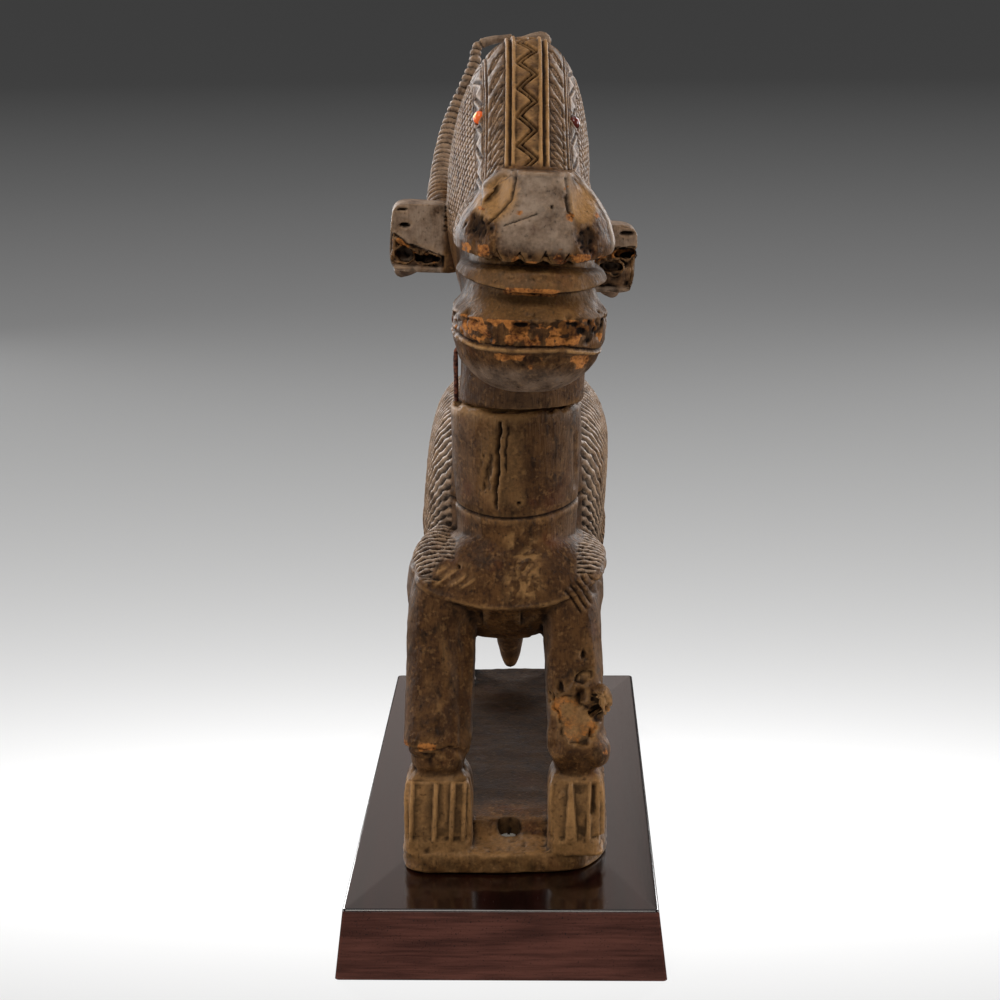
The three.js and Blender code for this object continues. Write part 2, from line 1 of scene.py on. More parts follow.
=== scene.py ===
"""The finish of a carved antelope headdress and its plinth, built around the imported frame.

Sizes are in millimetres until a mesh is written. X runs to the viewer's right, Y away from the
viewer and Z up, from the centre of the plinth's underside.
"""

import logging
import math
from collections.abc import Callable
from dataclasses import dataclass, field
from enum import Enum

import bpy
import numpy as np
from mathutils import Matrix, Vector


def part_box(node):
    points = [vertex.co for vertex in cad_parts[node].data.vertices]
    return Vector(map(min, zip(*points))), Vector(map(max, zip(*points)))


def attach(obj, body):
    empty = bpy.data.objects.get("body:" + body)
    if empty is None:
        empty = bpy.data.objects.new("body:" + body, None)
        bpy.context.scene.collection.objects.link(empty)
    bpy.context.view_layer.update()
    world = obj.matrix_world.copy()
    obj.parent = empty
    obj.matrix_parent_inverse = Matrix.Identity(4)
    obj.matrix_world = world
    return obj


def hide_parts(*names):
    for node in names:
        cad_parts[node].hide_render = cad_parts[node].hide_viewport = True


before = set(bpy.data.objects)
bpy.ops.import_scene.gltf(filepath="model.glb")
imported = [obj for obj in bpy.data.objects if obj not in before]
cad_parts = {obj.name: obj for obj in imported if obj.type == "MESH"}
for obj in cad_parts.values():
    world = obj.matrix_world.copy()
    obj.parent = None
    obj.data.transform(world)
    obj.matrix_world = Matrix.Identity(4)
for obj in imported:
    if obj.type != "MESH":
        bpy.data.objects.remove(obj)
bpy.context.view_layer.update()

log = logging.getLogger("headdress")

MM = 0.001
Array = np.ndarray
Place = tuple[float, ...]
Stations = tuple[Place, ...]


# Arithmetic on arrays


def power(value: Array, exponent: float) -> Array:
    """Signed power, the building stone of a squared oval."""
    return np.sign(value) * np.abs(value) ** exponent


def ramp(value: Array, low: float, high: float) -> Array:
    """Smooth step: 0 at low, 1 at high, 3t^2 - 2t^3 between them."""
    share = np.clip((value - low) / (high - low), 0, 1)
    return share * share * (3 - 2 * share)


def strip(value: Array, half: float, soft: float) -> Array:
    """1 where value is within half of zero, falling to 0 over soft beyond it."""
    return 1 - ramp(np.abs(value), half, half + soft)


def between(value: Array, low: float, full: float, fade: float, high: float) -> Array:
    """0 below low, 1 from full to fade and 0 again over high, by two smooth steps."""
    return ramp(value, low, full) * (1 - ramp(value, fade, high))


def within(x: Array, z: Array, middle: Place, half: Place) -> Array:
    """1 in an oval's middle, 0 on its edge and less outside: 1 less the scaled distance."""
    return 1 - np.hypot((x - middle[0]) / half[0], (z - middle[1]) / half[1])


def most(*values: Array) -> Array:
    """The largest of several, point by point."""
    return np.maximum.reduce(values)


def upright(values: Array | float) -> Array:
    """A list of numbers as a column, so that it crosses a row of others; a grid stays as it is."""
    values = np.asarray(values, float)
    return values if values.ndim == 2 else values.reshape(-1, 1)


def track(stations: Stations | Array, place: Array) -> Array:
    """Smooth values along stations: cubic Hermite pieces whose slopes are central differences.

    Args:
        stations: rows of a place followed by one or more values.
        place: where to read the values.

    Returns:
        One value for each place, or one row where the stations hold several values.
    """
    table = np.asarray(stations, float)
    places, values = table[:, 0], table[:, 1:]
    last = len(places) - 1
    place = np.clip(np.asarray(place, float), places[0], places[-1])
    i = np.clip(np.searchsorted(places, place, side="right") - 1, 0, last - 1)
    before, after = np.maximum(i - 1, 0), np.minimum(i + 2, last)
    span = (places[i + 1] - places[i])[..., None]
    start = (values[i + 1] - values[before]) / (places[i + 1] - places[before])[..., None] * span
    end = (values[after] - values[i]) / (places[after] - places[i])[..., None] * span
    t = (place - places[i])[..., None] / span
    rise = t * t * (3 - 2 * t)
    found = values[i] * (1 - rise) + values[i + 1] * rise
    found = found + start * t * (1 - t) ** 2 - end * t * t * (1 - t)
    return found[..., 0] if values.shape[1] == 1 else found


def scattered(key: Array) -> Array:
    """A fixed number from 0 to 1 for each key: the fraction of a very large sine."""
    return np.modf(np.abs(np.sin(key) * 43758.5453))[0]


def noise(points: Array, size: float, seed: float = 0.0) -> Array:
    """Value noise from -1 to 1: corner numbers of a cubic lattice, blended by smooth steps.

    Args:
        points: rows of coordinates.
        size: the lattice's pitch.
        seed: picks another pattern.

    Returns:
        One number for each point.
    """
    place = points / size + 91.7
    cell = np.floor(place)
    part = place - cell
    part = part * part * (3 - 2 * part)
    total = np.zeros(len(points))
    for corner in np.ndindex(2, 2, 2):
        number = scattered((cell + corner) @ np.array([12.9898, 78.233, 37.719]) + seed * 7.31)
        share = np.prod(np.where(np.array(corner) == 1, part, 1 - part), axis=1)
        total += (2 * number - 1) * share
    return total


def facets(across: Array, along: Array, width: float, length: float) -> Array:
    """Knife scoops in staggered rows: in each cell the depth is a parabola, deepest in its middle.

    Args:
        across: coordinate over the rows, whose pitch is width.
        along: coordinate along the rows, whose cells are length long.

    Returns:
        0 on the crests between scoops, 1 in the middle of a scoop.
    """
    row = np.floor(across / width)
    shift = scattered(row * 12.9898)
    u = 2 * (across / width - row) - 1
    cell = along / length + shift
    v = 2 * (cell % 1) - 1
    return (1 - u * u) * (1 - 0.6 * v * v)


# Closed shells, each a pair of points and triangles


@dataclass
class Shell:
    """A closed skin of triangles."""

    points: Array
    triangles: Array
    fields: dict[str, Array] = field(default_factory=dict)

    def outward(self) -> "Shell":
        """The shell with its faces pointing out, judged by its signed volume."""
        a, b, c = (self.points[self.triangles[:, k]] for k in range(3))
        if np.einsum("ij,ij->i", a, np.cross(b, c)).sum() < 0:
            self.triangles = self.triangles[:, ::-1].copy()
        return self

    def moved(self, turn: Array, place: Place) -> "Shell":
        """The shell turned about the origin and then shifted."""
        return Shell(self.points @ turn.T + place, self.triangles, self.fields)

    def normals(self) -> Array:
        """Unit normals at the points, as the area-weighted mean of the faces round each."""
        a, b, c = (self.points[self.triangles[:, k]] for k in range(3))
        face = np.cross(b - a, c - a)
        corner = self.triangles.ravel()
        total = np.stack([
            np.bincount(corner, np.repeat(face[:, k], 3), len(self.points)) for k in range(3)
        ], axis=1)
        return total / np.maximum(np.linalg.norm(total, axis=1, keepdims=True), 1e-12)

    def averages(self, values: Array) -> Array:
        """The mean of values over each point's neighbours."""
        here = self.triangles.ravel()
        there = np.roll(self.triangles, -1, axis=1).ravel()
        count = np.maximum(np.bincount(here, minlength=len(self.points)), 1)
        if values.ndim == 1:
            return np.bincount(here, values[there], len(self.points)) / count
        return np.stack([
            np.bincount(here, values[there, k], len(self.points)) / count
            for k in range(values.shape[1])
        ], axis=1)

    def relax(self, rounds: int) -> "Shell":
        """Smooths without shrinking: each round moves a share towards the mean and back again."""
        for _ in range(rounds):
            for share in (0.5, -0.53):
                self.points = self.points + share * (self.averages(self.points) - self.points)
        return self

    def swelling(self, rounds: int) -> Array:
        """How far each point stands out from its blurred surroundings, in millimetres."""
        blurred = self.points
        for _ in range(rounds):
            blurred = self.averages(blurred)
        return np.einsum("ij,ij->i", self.points - blurred, self.normals())


def gather(shells: list[Shell]) -> Shell:
    """All shells as one."""
    starts = np.cumsum([0] + [len(shell.points) for shell in shells[:-1]])
    return Shell(
        np.concatenate([shell.points for shell in shells]),
        np.concatenate([shell.triangles + start for shell, start in zip(shells, starts)]),
    )


def oval(count: int, squareness: float) -> Array:
    """A squared oval on unit axes: cosine and sine, each to the power 2 / squareness."""
    angle = 2 * np.pi * (np.arange(count) + 0.5) / count
    return np.stack([power(np.cos(angle), 2 / squareness), power(np.sin(angle), 2 / squareness)], 1)


def loft(rings: Array) -> Shell:
    """Two triangles for each cell between rings, and a fan of triangles over each end.

    Args:
        rings: a grid of rings by columns by coordinates.

    Returns:
        The closed skin.
    """
    rows, columns = rings.shape[:2]
    index = np.arange(rows * columns).reshape(rows, columns)
    right = np.roll(index, -1, axis=1)
    lower = np.stack([index[:-1], right[:-1], right[1:]], -1).reshape(-1, 3)
    upper = np.stack([index[:-1], right[1:], index[1:]], -1).reshape(-1, 3)
    hubs = rings[[0, -1]].mean(axis=1)
    first = np.stack([right[0], index[0], np.full(columns, rows * columns)], -1)
    last = np.stack([index[-1], right[-1], np.full(columns, rows * columns + 1)], -1)
    points = np.concatenate([rings.reshape(-1, 3), hubs])
    return Shell(points, np.concatenate([lower, upper, first, last])).outward()


def ovals(outline: Array, middle: tuple, half: tuple, level: Array | Place) -> Array:
    """Rings for a loft: at each level the outline times the half sizes, plus the middle.

    Args:
        outline: a section on unit axes.
        middle: x and y of the rings' middles, each a number, a list or a grid.
        half: half width and half depth, likewise.
        level: the rings' heights, likewise.

    Returns:
        A grid of rings by columns.
    """
    flat = [upright(at) + upright(size) * outline[:, k] for k, (at, size) in enumerate(zip(middle, half))]
    return np.stack(np.broadcast_arrays(*flat, upright(level)), axis=-1)


def ball(centre: Place, size: Place, rows: int = 40) -> Shell:
    """An ellipsoid: circles of latitude, each scaled to the half sizes given."""
    turn = np.linspace(0.02, np.pi - 0.02, rows)[:, None]
    angle = 2 * np.pi * np.arange(2 * rows)[None, :] / (2 * rows)
    grid = np.stack([
        np.sin(turn) * np.cos(angle), np.sin(turn) * np.sin(angle), np.cos(turn) + 0 * angle,
    ], axis=-1)
    return loft(grid * np.asarray(size) + np.asarray(centre))


def sweep(path: Array, radii: Array, columns: int, side: Place = (1, 0, 0)) -> Shell:
    """A round bar: at each point of the path a circle across it.

    Args:
        path: points along the bar's middle.
        radii: a radius for each point.
        columns: points round the bar.
        side: the direction from which the circles start.

    Returns:
        The bar's closed skin.
    """
    ahead = np.gradient(path, axis=0)
    ahead /= np.linalg.norm(ahead, axis=1, keepdims=True)
    across = np.asarray(side, float) - (ahead @ np.asarray(side, float))[:, None] * ahead
    across /= np.linalg.norm(across, axis=1, keepdims=True)
    up = np.cross(ahead, across)
    circle = oval(columns, 2)
    rings = path[:, None] + radii[:, None, None] * (
        circle[None, :, :1] * across[:, None] + circle[None, :, 1:] * up[:, None])
    return loft(rings)


def spline(knots: Stations, count: int) -> Array:
    """A smooth line through knots: Hermite pieces over the root of their gaps, stepped evenly.

    Args:
        knots: the points that the line passes.
        count: how many points the answer has.

    Returns:
        Points at even steps along the line.
    """
    knots = np.asarray(knots, float)
    gap = np.linalg.norm(np.diff(knots, axis=0), axis=1) ** 0.5
    table = np.column_stack([np.concatenate([[0], np.cumsum(gap)]), knots])
    fine = np.linspace(0, table[-1, 0], 40 * len(knots))
    length = np.linalg.norm(np.diff(track(table, fine), axis=0), axis=1)
    length = np.concatenate([[0], np.cumsum(length)])
    return track(table, np.interp(np.linspace(0, length[-1], count), length, fine))


def box_shell(low: Place, high: Place) -> Shell:
    """A block between two corners."""
    (x0, y0, z0), (x1, y1, z1) = low, high
    ring = np.array([[x0, y0], [x1, y0], [x1, y1], [x0, y1]])
    return loft(ovals(ring, (0, 0), (1, 1), (z0, z1)))


def turned(radii: Array | Place, middle: Place, level: Array | Place, columns: int) -> Shell:
    """A profile of radius over height, carried round an upright axis through the middle."""
    return loft(ovals(oval(columns, 2), middle, (radii, radii), level))


# Between shells and Blender's meshes


def to_mesh(name: str, shell: Shell, smooth: bool = True) -> bpy.types.Mesh:
    """Writes a shell into a new mesh, in metres.

    Args:
        name: the mesh's name.
        shell: points, triangles and fields, which become attributes held between 0 and 1.
        smooth: whether the faces are shaded smooth.

    Returns:
        The mesh.
    """
    mesh = bpy.data.meshes.new(name)
    count = len(shell.triangles)
    mesh.vertices.add(len(shell.points))
    mesh.vertices.foreach_set("co", (shell.points * MM).astype(np.float32).ravel())
    mesh.loops.add(3 * count)
    mesh.loops.foreach_set("vertex_index", shell.triangles.astype(np.int32).ravel())
    mesh.polygons.add(count)
    mesh.polygons.foreach_set("loop_start", np.arange(0, 3 * count, 3, dtype=np.int32))
    mesh.polygons.foreach_set("use_smooth", np.full(count, smooth))
    mesh.update(calc_edges=True)
    mesh.validate()
    for key, values in shell.fields.items():
        attribute = mesh.attributes.new(key, "FLOAT", "POINT")
        attribute.data.foreach_set("value", np.clip(values, 0, 1).astype(np.float32))
    return mesh


def from_mesh(mesh: bpy.types.Mesh) -> Shell:
    """Reads a mesh as a shell, in millimetres."""
    points = np.empty(3 * len(mesh.vertices), np.float32)
    mesh.vertices.foreach_get("co", points)
    mesh.calc_loop_triangles()
    triangles = np.empty(3 * len(mesh.loop_triangles), np.int32)
    mesh.loop_triangles.foreach_get("vertices", triangles)
    fields = {}
    for attribute in mesh.attributes:
        if attribute.data_type == "FLOAT" and attribute.domain == "POINT":
            values = np.empty(len(mesh.vertices), np.float32)
            attribute.data.foreach_get("value", values)
            fields[attribute.name] = values.astype(float)
    points = points.reshape(-1, 3).astype(float) / MM
    return Shell(points, triangles.reshape(-1, 3).astype(np.int64), fields)


def modified(shell: Shell, kind: str, **settings: object) -> Shell:
    """Passes a shell through one modifier on a passing object.

    Args:
        shell: what goes in.
        kind: the modifier's type.
        settings: the modifier's attributes.

    Returns:
        What comes out, with its fields.
    """
    piece = bpy.data.objects.new("passing", to_mesh("passing", shell))
    bpy.context.scene.collection.objects.link(piece)
    modifier = piece.modifiers.new("change", kind)
    for key, value in settings.items():
        setattr(modifier, key, value)
    graph = bpy.context.evaluated_depsgraph_get()
    found = from_mesh(piece.evaluated_get(graph).data)
    bpy.data.meshes.remove(piece.data)
    return found


def fused(shells: list[Shell], voxel: float) -> Shell:
    """One even skin round all the shells, by a voxel remesh on a grid of voxel millimetres."""
    return modified(gather(shells), "REMESH", mode="VOXEL", voxel_size=voxel * MM, adaptivity=0)


def thinned(shell: Shell, limit: int) -> Shell:
    """The shell with at most limit triangles, by collapsing the flattest edges first."""
    return modified(shell, "DECIMATE", ratio=min(1.0, limit / len(shell.triangles)))


def cut(shell: Shell, *tools: Shell) -> Shell:
    """Takes closed shapes out of a shell.

    Args:
        shell: what is cut.
        tools: the shapes taken out of it.

    Returns:
        What is left.
    """
    cutter = bpy.data.objects.new("cutter", to_mesh("cutter", gather(list(tools))))
    bpy.context.scene.collection.objects.link(cutter)
    left = modified(
        shell, "BOOLEAN", operation="DIFFERENCE", solver="EXACT", use_self=True, object=cutter)
    bpy.data.meshes.remove(cutter.data)
    return left


def place_piece(
    name: str, shell: Shell, material: bpy.types.Material, slot: str, *nodes: str, smooth: bool = True,
) -> bpy.types.Object:
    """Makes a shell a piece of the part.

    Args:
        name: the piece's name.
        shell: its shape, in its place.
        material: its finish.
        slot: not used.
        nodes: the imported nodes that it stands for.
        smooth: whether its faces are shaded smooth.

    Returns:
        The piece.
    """
    mesh = to_mesh(name, shell, smooth)
    mesh.materials.append(material)
    piece = bpy.data.objects.new(name, mesh)
    bpy.context.scene.collection.objects.link(piece)
    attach(piece, "root")
    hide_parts(*nodes)
    return piece


# Shader arithmetic


class Signal:
    """A number in a material; arithmetic on it adds Math nodes."""

    def __init__(self, sheet: "Sheet", socket: bpy.types.NodeSocket) -> None:
        """Keeps the sheet of nodes and the socket that carries the number."""
        self.sheet = sheet
        self.socket = socket

    def _math(self, operation: str, *values: "Signal | float") -> "Signal":
        """Adds a Math node over the values."""
        inputs = dict(enumerate(values))
        return self.sheet.node("ShaderNodeMath", {"operation": operation}, inputs)

    def __add__(self, other: "Signal | float") -> "Signal":
        """Sum."""
        return self._math("ADD", self, other)

    __radd__ = __add__

    def __sub__(self, other: "Signal | float") -> "Signal":
        """Difference."""
        return self._math("SUBTRACT", self, other)

    def __rsub__(self, other: float) -> "Signal":
        """Difference, from the left."""
        return self._math("SUBTRACT", other, self)

    def __mul__(self, other: "Signal | float") -> "Signal":
        """Product."""
        return self._math("MULTIPLY", self, other)

    __rmul__ = __mul__

    def clamp(self) -> "Signal":
        """The number held between 0 and 1."""
        held = self._math("ADD", self, 0.0)
        held.socket.node.use_clamp = True
        return held

    def steps(self, low: float, high: float) -> "Signal":
        """0 below low, 1 above high and smooth between them."""
        settings = {"interpolation_type": "SMOOTHSTEP"}
        return self.sheet.node("ShaderNodeMapRange", settings, {0: self, 1: low, 2: high})


class Sheet:
    """The node tree of one material."""

    def __init__(self, name: str) -> None:
        """Starts a material whose surface is one Principled shader."""
        self.material = bpy.data.materials.new(name)
        self.material.use_nodes = True
        self.nodes = self.material.node_tree.nodes
        self.links = self.material.node_tree.links
        self.shader = self.nodes["Principled BSDF"]
        self.place = self.node("ShaderNodeTexCoord", {}, {}, output="Object")

    def node(self, kind: str, settings: dict, inputs: dict, output: int | str = 0) -> Signal:
        """Adds a node.

        Args:
            kind: the node's type.
            settings: attributes that are set before its sockets; "stops" fills a colour ramp.
            inputs: a value or Signal for each socket, by name or number.
            output: the socket that the answer carries.
        """
        made = self.nodes.new(kind)
        for key, value in settings.items():
            if key == "stops":
                self._fill(made.color_ramp, value)
            else:
                setattr(made, key, value)
        for key, value in inputs.items():
            self.feed(made.inputs[key], value)
        return Signal(self, made.outputs[output])

    def _fill(self, colours: bpy.types.ColorRamp, stops: list[tuple]) -> None:
        """Gives a ramp its places and colours."""
        for i, (place, colour) in enumerate(stops):
            stop = colours.elements[i] if i < 2 else colours.elements.new(place)
            stop.position = place
            stop.color = (*colour, 1)

    def feed(self, socket: bpy.types.NodeSocket, value: object) -> None:
        """Links a Signal to a socket, or sets the value there."""
        if isinstance(value, Signal):
            self.links.new(value.socket, socket)
        elif isinstance(value, tuple) and len(value) == 3 and socket.type == "RGBA":
            socket.default_value = (*value, 1)
        else:
            socket.default_value = value

    def set(self, **inputs: object) -> None:
        """Feeds the shader's sockets, with _ for a space in their names."""
        for key, value in inputs.items():
            self.feed(self.shader.inputs[key.replace("_", " ")], value)

    def mix(self, share: Signal | float, first: object, second: object, blend: str = "MIX") -> Signal:
        """One colour over another by a share."""
        settings = {"data_type": "RGBA", "blend_type": blend}
        return self.node("ShaderNodeMix", settings, {0: share, 6: first, 7: second}, output=2)

    def read(self, name: str) -> Signal:
        """A number stored on the mesh's points."""
        return self.node("ShaderNodeAttribute", {"attribute_name": name}, {}, output="Fac")

    def stretched(self, scale: tuple[float, float, float], turn: float = 0.0) -> Signal:
        """Object coordinates turned about Y and scaled along each axis."""
        inputs = {"Vector": self.place, "Rotation": (0.0, turn, 0.0), "Scale": scale}
        return self.node("ShaderNodeMapping", {}, inputs)

    def speckle(self, size: float, detail: float = 4, scale: tuple = (1.0, 1.0, 1.0)) -> Signal:
        """Noise from 0 to 1 whose grains are about the size given, in millimetres."""
        inputs = {"Vector": self.stretched(scale), "Scale": 1 / (size * MM), "Detail": detail}
        return self.node("ShaderNodeTexNoise", {}, inputs)

    def bump(self, height: Signal, depth: float, under: Signal | None = None) -> Signal:
        """A normal tipped by a height, whose full range stands for depth in millimetres."""
        inputs = {"Height": height, "Distance": depth * MM, "Strength": 1.0}
        if under is not None:
            inputs["Normal"] = under
        return self.node("ShaderNodeBump", {}, inputs)


# Finishes


@dataclass(frozen=True)
class PatinatedWood:
    """Dark handled wood: soot in the hollows, a brown crust, orange wood where it is worn, a grey film partly
    painted as sheen, and painted shade where shade falls.
    """

    name: str = "patinated_wood"
    deep: tuple = (0.006, 0.0028, 0.0012)
    crust: tuple = (0.052, 0.021, 0.0065)
    red: tuple = (0.085, 0.022, 0.007)
    brown: tuple = (0.125, 0.054, 0.016)
    golden: tuple = (0.44, 0.235, 0.088)
    raw: tuple = (0.50, 0.19, 0.045)
    # Grey of a worn film, and of painted sheen and reflection.
    film: tuple = (0.37, 0.275, 0.205)

    def make(self) -> bpy.types.Material:
        """Builds the material from the mesh's fields edge, hollow, raw and tan, a dark field of soot and
        painted shade, and a grey field of film and painted sheen.
        """
        sheet = Sheet(self.name)
        broad = sheet.speckle(22, 4)
        blotch = sheet.speckle(7, 7)
        fine = sheet.speckle(1.3, 5)
        grain = sheet.speckle(1.1, 5, (1.0, 1.0, 0.12))
        edge, hollow = sheet.read("edge"), sheet.read("hollow")
        cloud = (blotch * 0.5 + broad * 0.2 + fine * 0.3).steps(0.40, 0.60)
        colour = sheet.mix(cloud, self.crust, self.brown)
        for speckle, low, high, share, tint in (
            (sheet.speckle(15, 5), 0.56, 0.72, 0.55, self.red),
            (sheet.speckle(2.6, 6), 0.56, 0.68, 0.18, self.golden),
            (sheet.speckle(3.6, 6, (1.0, 1.0, 0.5)), 0.55, 0.70, 0.6, self.deep),
            (grain, 0.52, 0.70, 0.4, self.deep),
        ):
            colour = sheet.mix(speckle.steps(low, high) * share, colour, tint)
        # Painted sheen: the grey film stands partly for a real worn film and partly for the lamps' sheen and
        # reflection.
        sheen_veil = (sheet.read("film") * (blotch * 2.2 + fine * 0.6 - 0.72)).clamp()
        colour = sheet.mix(sheen_veil * 0.86, colour, self.film)
        handled = edge * (blotch * 1.3 - 0.35).clamp() * 0.8
        gold = (sheet.read("tan") * (0.3 + fine * 0.8) + handled).clamp()
        colour = sheet.mix(gold * 0.9, colour, self.golden)
        torn = (sheet.read("raw") * (0.2 + blotch * 1.0 + fine * 0.7)).steps(0.45, 0.8)
        inner = sheet.mix((fine * 0.6 + blotch * 0.5).steps(0.35, 0.7), self.red, self.raw)
        colour = sheet.mix(torn, colour, inner)
        # The dark field is real soot and stains, and also painted shade under parts, between them and where
        # they lie in shadow.
        soot = (sheet.read("soot") * (0.4 + blotch * 1.3)).steps(0.2, 0.9)
        colour = sheet.mix((hollow * 0.85 + soot * 0.72).clamp(), colour, self.deep)
        pits = fine.steps(0.26, 0.38)
        colour = sheet.mix((1 - pits) * 0.4, colour, self.deep)
        rough = 0.36 + blotch * 0.26 + torn * 0.25 + hollow * 0.3 + soot * 0.35
        rough = rough - edge * 0.08 - sheen_veil * 0.08
        skin = sheet.bump(grain, 0.35)
        skin = sheet.bump(pits, 0.22, skin)
        skin = sheet.bump(sheet.speckle(4.5, 3), 0.5, skin)
        sheet.set(Base_Color=colour, Roughness=rough, Normal=skin, Specular_IOR_Level=0.16)
        return sheet.material


@dataclass(frozen=True)
class PolishedMahogany:
    """Dark red-brown wood under a gloss polish, with open pores that run the length of the block."""

    name: str = "polished_mahogany"
    dark: tuple = (0.0035, 0.0009, 0.0007)
    warm: tuple = (0.016, 0.0032, 0.0022)
    lit_side_dark: tuple = (0.050, 0.016, 0.011)
    lit_side_warm: tuple = (0.125, 0.043, 0.030)
    pore: tuple = (0.003, 0.001, 0.001)
    top: float = 29.3

    def make(self) -> bpy.types.Material:
        """Builds the material; the grain runs along Y, and the sides are painted paler than the top: painted
        light on the sides against a top kept dark.
        """
        sheet = Sheet(self.name)
        bands = sheet.speckle(9, 4, (1.0, 0.05, 0.6))
        fibres = sheet.speckle(0.8, 5, (1.0, 0.04, 1.0))
        pores = sheet.speckle(0.6, 2, (1.0, 0.07, 1.0)).steps(0.63, 0.70)
        figure = (bands * 0.7 + fibres * 0.3).steps(0.35, 0.68)
        height = sheet.node("ShaderNodeSeparateXYZ", {}, {0: sheet.place}, output="Z")
        above = height.steps((self.top - 0.4) * MM, self.top * MM)
        broad, narrow = sheet.speckle(5, 4, (0.1, 0.1, 1.0)), sheet.speckle(0.9, 4, (0.05, 0.05, 1.0))
        level = (broad * 0.6 + narrow * 0.4).steps(0.35, 0.66)
        # Painted light: the sides get paler copies of the wood's colour than the top.
        sides = sheet.mix(level, self.lit_side_dark, self.lit_side_warm)
        colour = sheet.mix(above, sides, sheet.mix(figure, self.dark, self.warm))
        colour = sheet.mix(pores * 0.7, colour, self.pore)
        rough = 0.13 + pores * 0.08 + fibres * 0.10
        skin = sheet.bump(1 - pores, 0.004)
        skin = sheet.bump(fibres, 0.015, skin)
        sheet.set(
            Base_Color=colour, Roughness=rough, Normal=skin,
            Coat_Weight=0.6, Coat_Roughness=0.08, Specular_IOR_Level=0.5,
        )
        return sheet.material


class BeadTint(Enum):
    """Rim colour, middle colour and glow of the seeds set as eyes: one amber, one gone dark. The paler middle
    is a painted highlight and the glow a painted light.
    """

    AMBER = ((0.62, 0.10, 0.02), (0.95, 0.55, 0.10), 0.45)
    DARK = ((0.10, 0.012, 0.008), (0.30, 0.03, 0.02), 0.02)


@dataclass(frozen=True)
class GlossBead:
    """A polished seed, darker at its rim, with a painted highlight in its middle and a painted glow."""

    tint: BeadTint

    def make(self) -> bpy.types.Material:
        """Builds the material from the field face, 1 in the middle of the bead, where the painted highlight
        is strongest.
        """
        sheet = Sheet(f"bead_{self.tint.name.lower()}")
        rim, middle, glow = self.tint.value
        mottle = sheet.speckle(1.2, 3)
        face = (sheet.read("face") + mottle * 0.5 - 0.25).steps(0.35, 0.9)
        colour = sheet.mix(face, rim, middle)
        skin = sheet.bump(mottle, 0.05)
        sheet.set(Base_Color=colour, Roughness=0.25, Normal=skin, Coat_Weight=0.3, Coat_Roughness=0.1)
        # Painted glow: the seed shines from within as a painted light, strongly for the amber one.
        sheet.set(Emission_Color=colour, Emission_Strength=glow)
        return sheet.material


@dataclass(frozen=True)
class RustedIron:
    """Dark red scale with orange bloom."""

    name: str = "rusted_iron"
    scale: tuple = (0.035, 0.010, 0.007)
    rust: tuple = (0.21, 0.055, 0.020)

    def make(self) -> bpy.types.Material:
        """Builds the material."""
        sheet = Sheet(self.name)
        bloom = sheet.speckle(1.4, 6)
        colour = sheet.mix(bloom.steps(0.35, 0.7), self.scale, self.rust)
        skin = sheet.bump(bloom, 0.25)
        sheet.set(Base_Color=colour, Roughness=0.55 + bloom * 0.3, Normal=skin)
        sheet.set(Metallic=(1 - bloom.steps(0.3, 0.6)) * 0.6)
        return sheet.material


@dataclass(frozen=True)
class BrightSteel:
    """Turned steel, a little dusty."""

    name: str = "bright_steel"
    clean: tuple = (0.85, 0.85, 0.83)
    dusty: tuple = (0.50, 0.47, 0.43)

    def make(self) -> bpy.types.Material:
        """Builds the material."""
        sheet = Sheet(self.name)
        dust = sheet.speckle(1.1, 5)
        colour = sheet.mix(dust.steps(0.5, 0.75), self.clean, self.dusty)
        skin = sheet.bump(sheet.speckle(0.4, 2, (0.1, 1.0, 1.0)), 0.02)
        sheet.set(Base_Color=colour, Roughness=0.42 + dust * 0.2, Metallic=0.7, Normal=skin)
        return sheet.material


# What the two carved blocks share


@dataclass
class Carving:
    """A block of wood: plain forms fused to one skin, which is then cut along its normals.

    Its marks are methods of p, rows of points in the block's own frame, and n, their normals. Each
    gives one number a point: a share from 0 to 1, or a height in millimetres, below zero where it cuts.
    """

    voxel: float = 0.5
    triangles: int = 194000
    wood: str = "patinated_wood"

    def relief(self, p: Array, n: Array) -> Array:
        """How far each point moves out along its normal; every block has its own."""
        raise NotImplementedError

    def wear(self, whole: Shell) -> dict[str, Array]:
        """The fields that the finish reads; every block has its own."""
        raise NotImplementedError

    def pit(self, x: Array, z: Array, middle: Place, radius: float) -> Array:
        """1 in a small round hole, 0 from half a millimetre past its edge."""
        return strip(np.hypot(x - middle[0], z - middle[1]), radius, 0.5)

    def carved(self, shells: list[Shell], rounds: int) -> Shell:
        """Fuses the forms, smooths the skin and moves each point along its normal by the relief.

        Args:
            shells: the plain forms.
            rounds: how often the skin is smoothed.

        Returns:
            The carved skin.
        """
        whole = fused(shells, self.voxel * (1.0)).relax(rounds)
        normals = whole.normals()
        whole.points = whole.points + normals * self.relief(whole.points, normals)[:, None]
        return whole

    def dressed(self, name: str, whole: Shell, node: str) -> bpy.types.Object:
        """Thins the skin and makes it a piece of patinated wood.

        Args:
            name: the piece's name.
            whole: the carved skin, with its fields, in the part's frame.
            node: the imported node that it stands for.

        Returns:
            The piece.
        """
        finish = PatinatedWood(self.wood).make()
        return place_piece(name, thinned(whole, self.triangles), finish, "carved_wood", node)


# The body, carved from one log with its platform


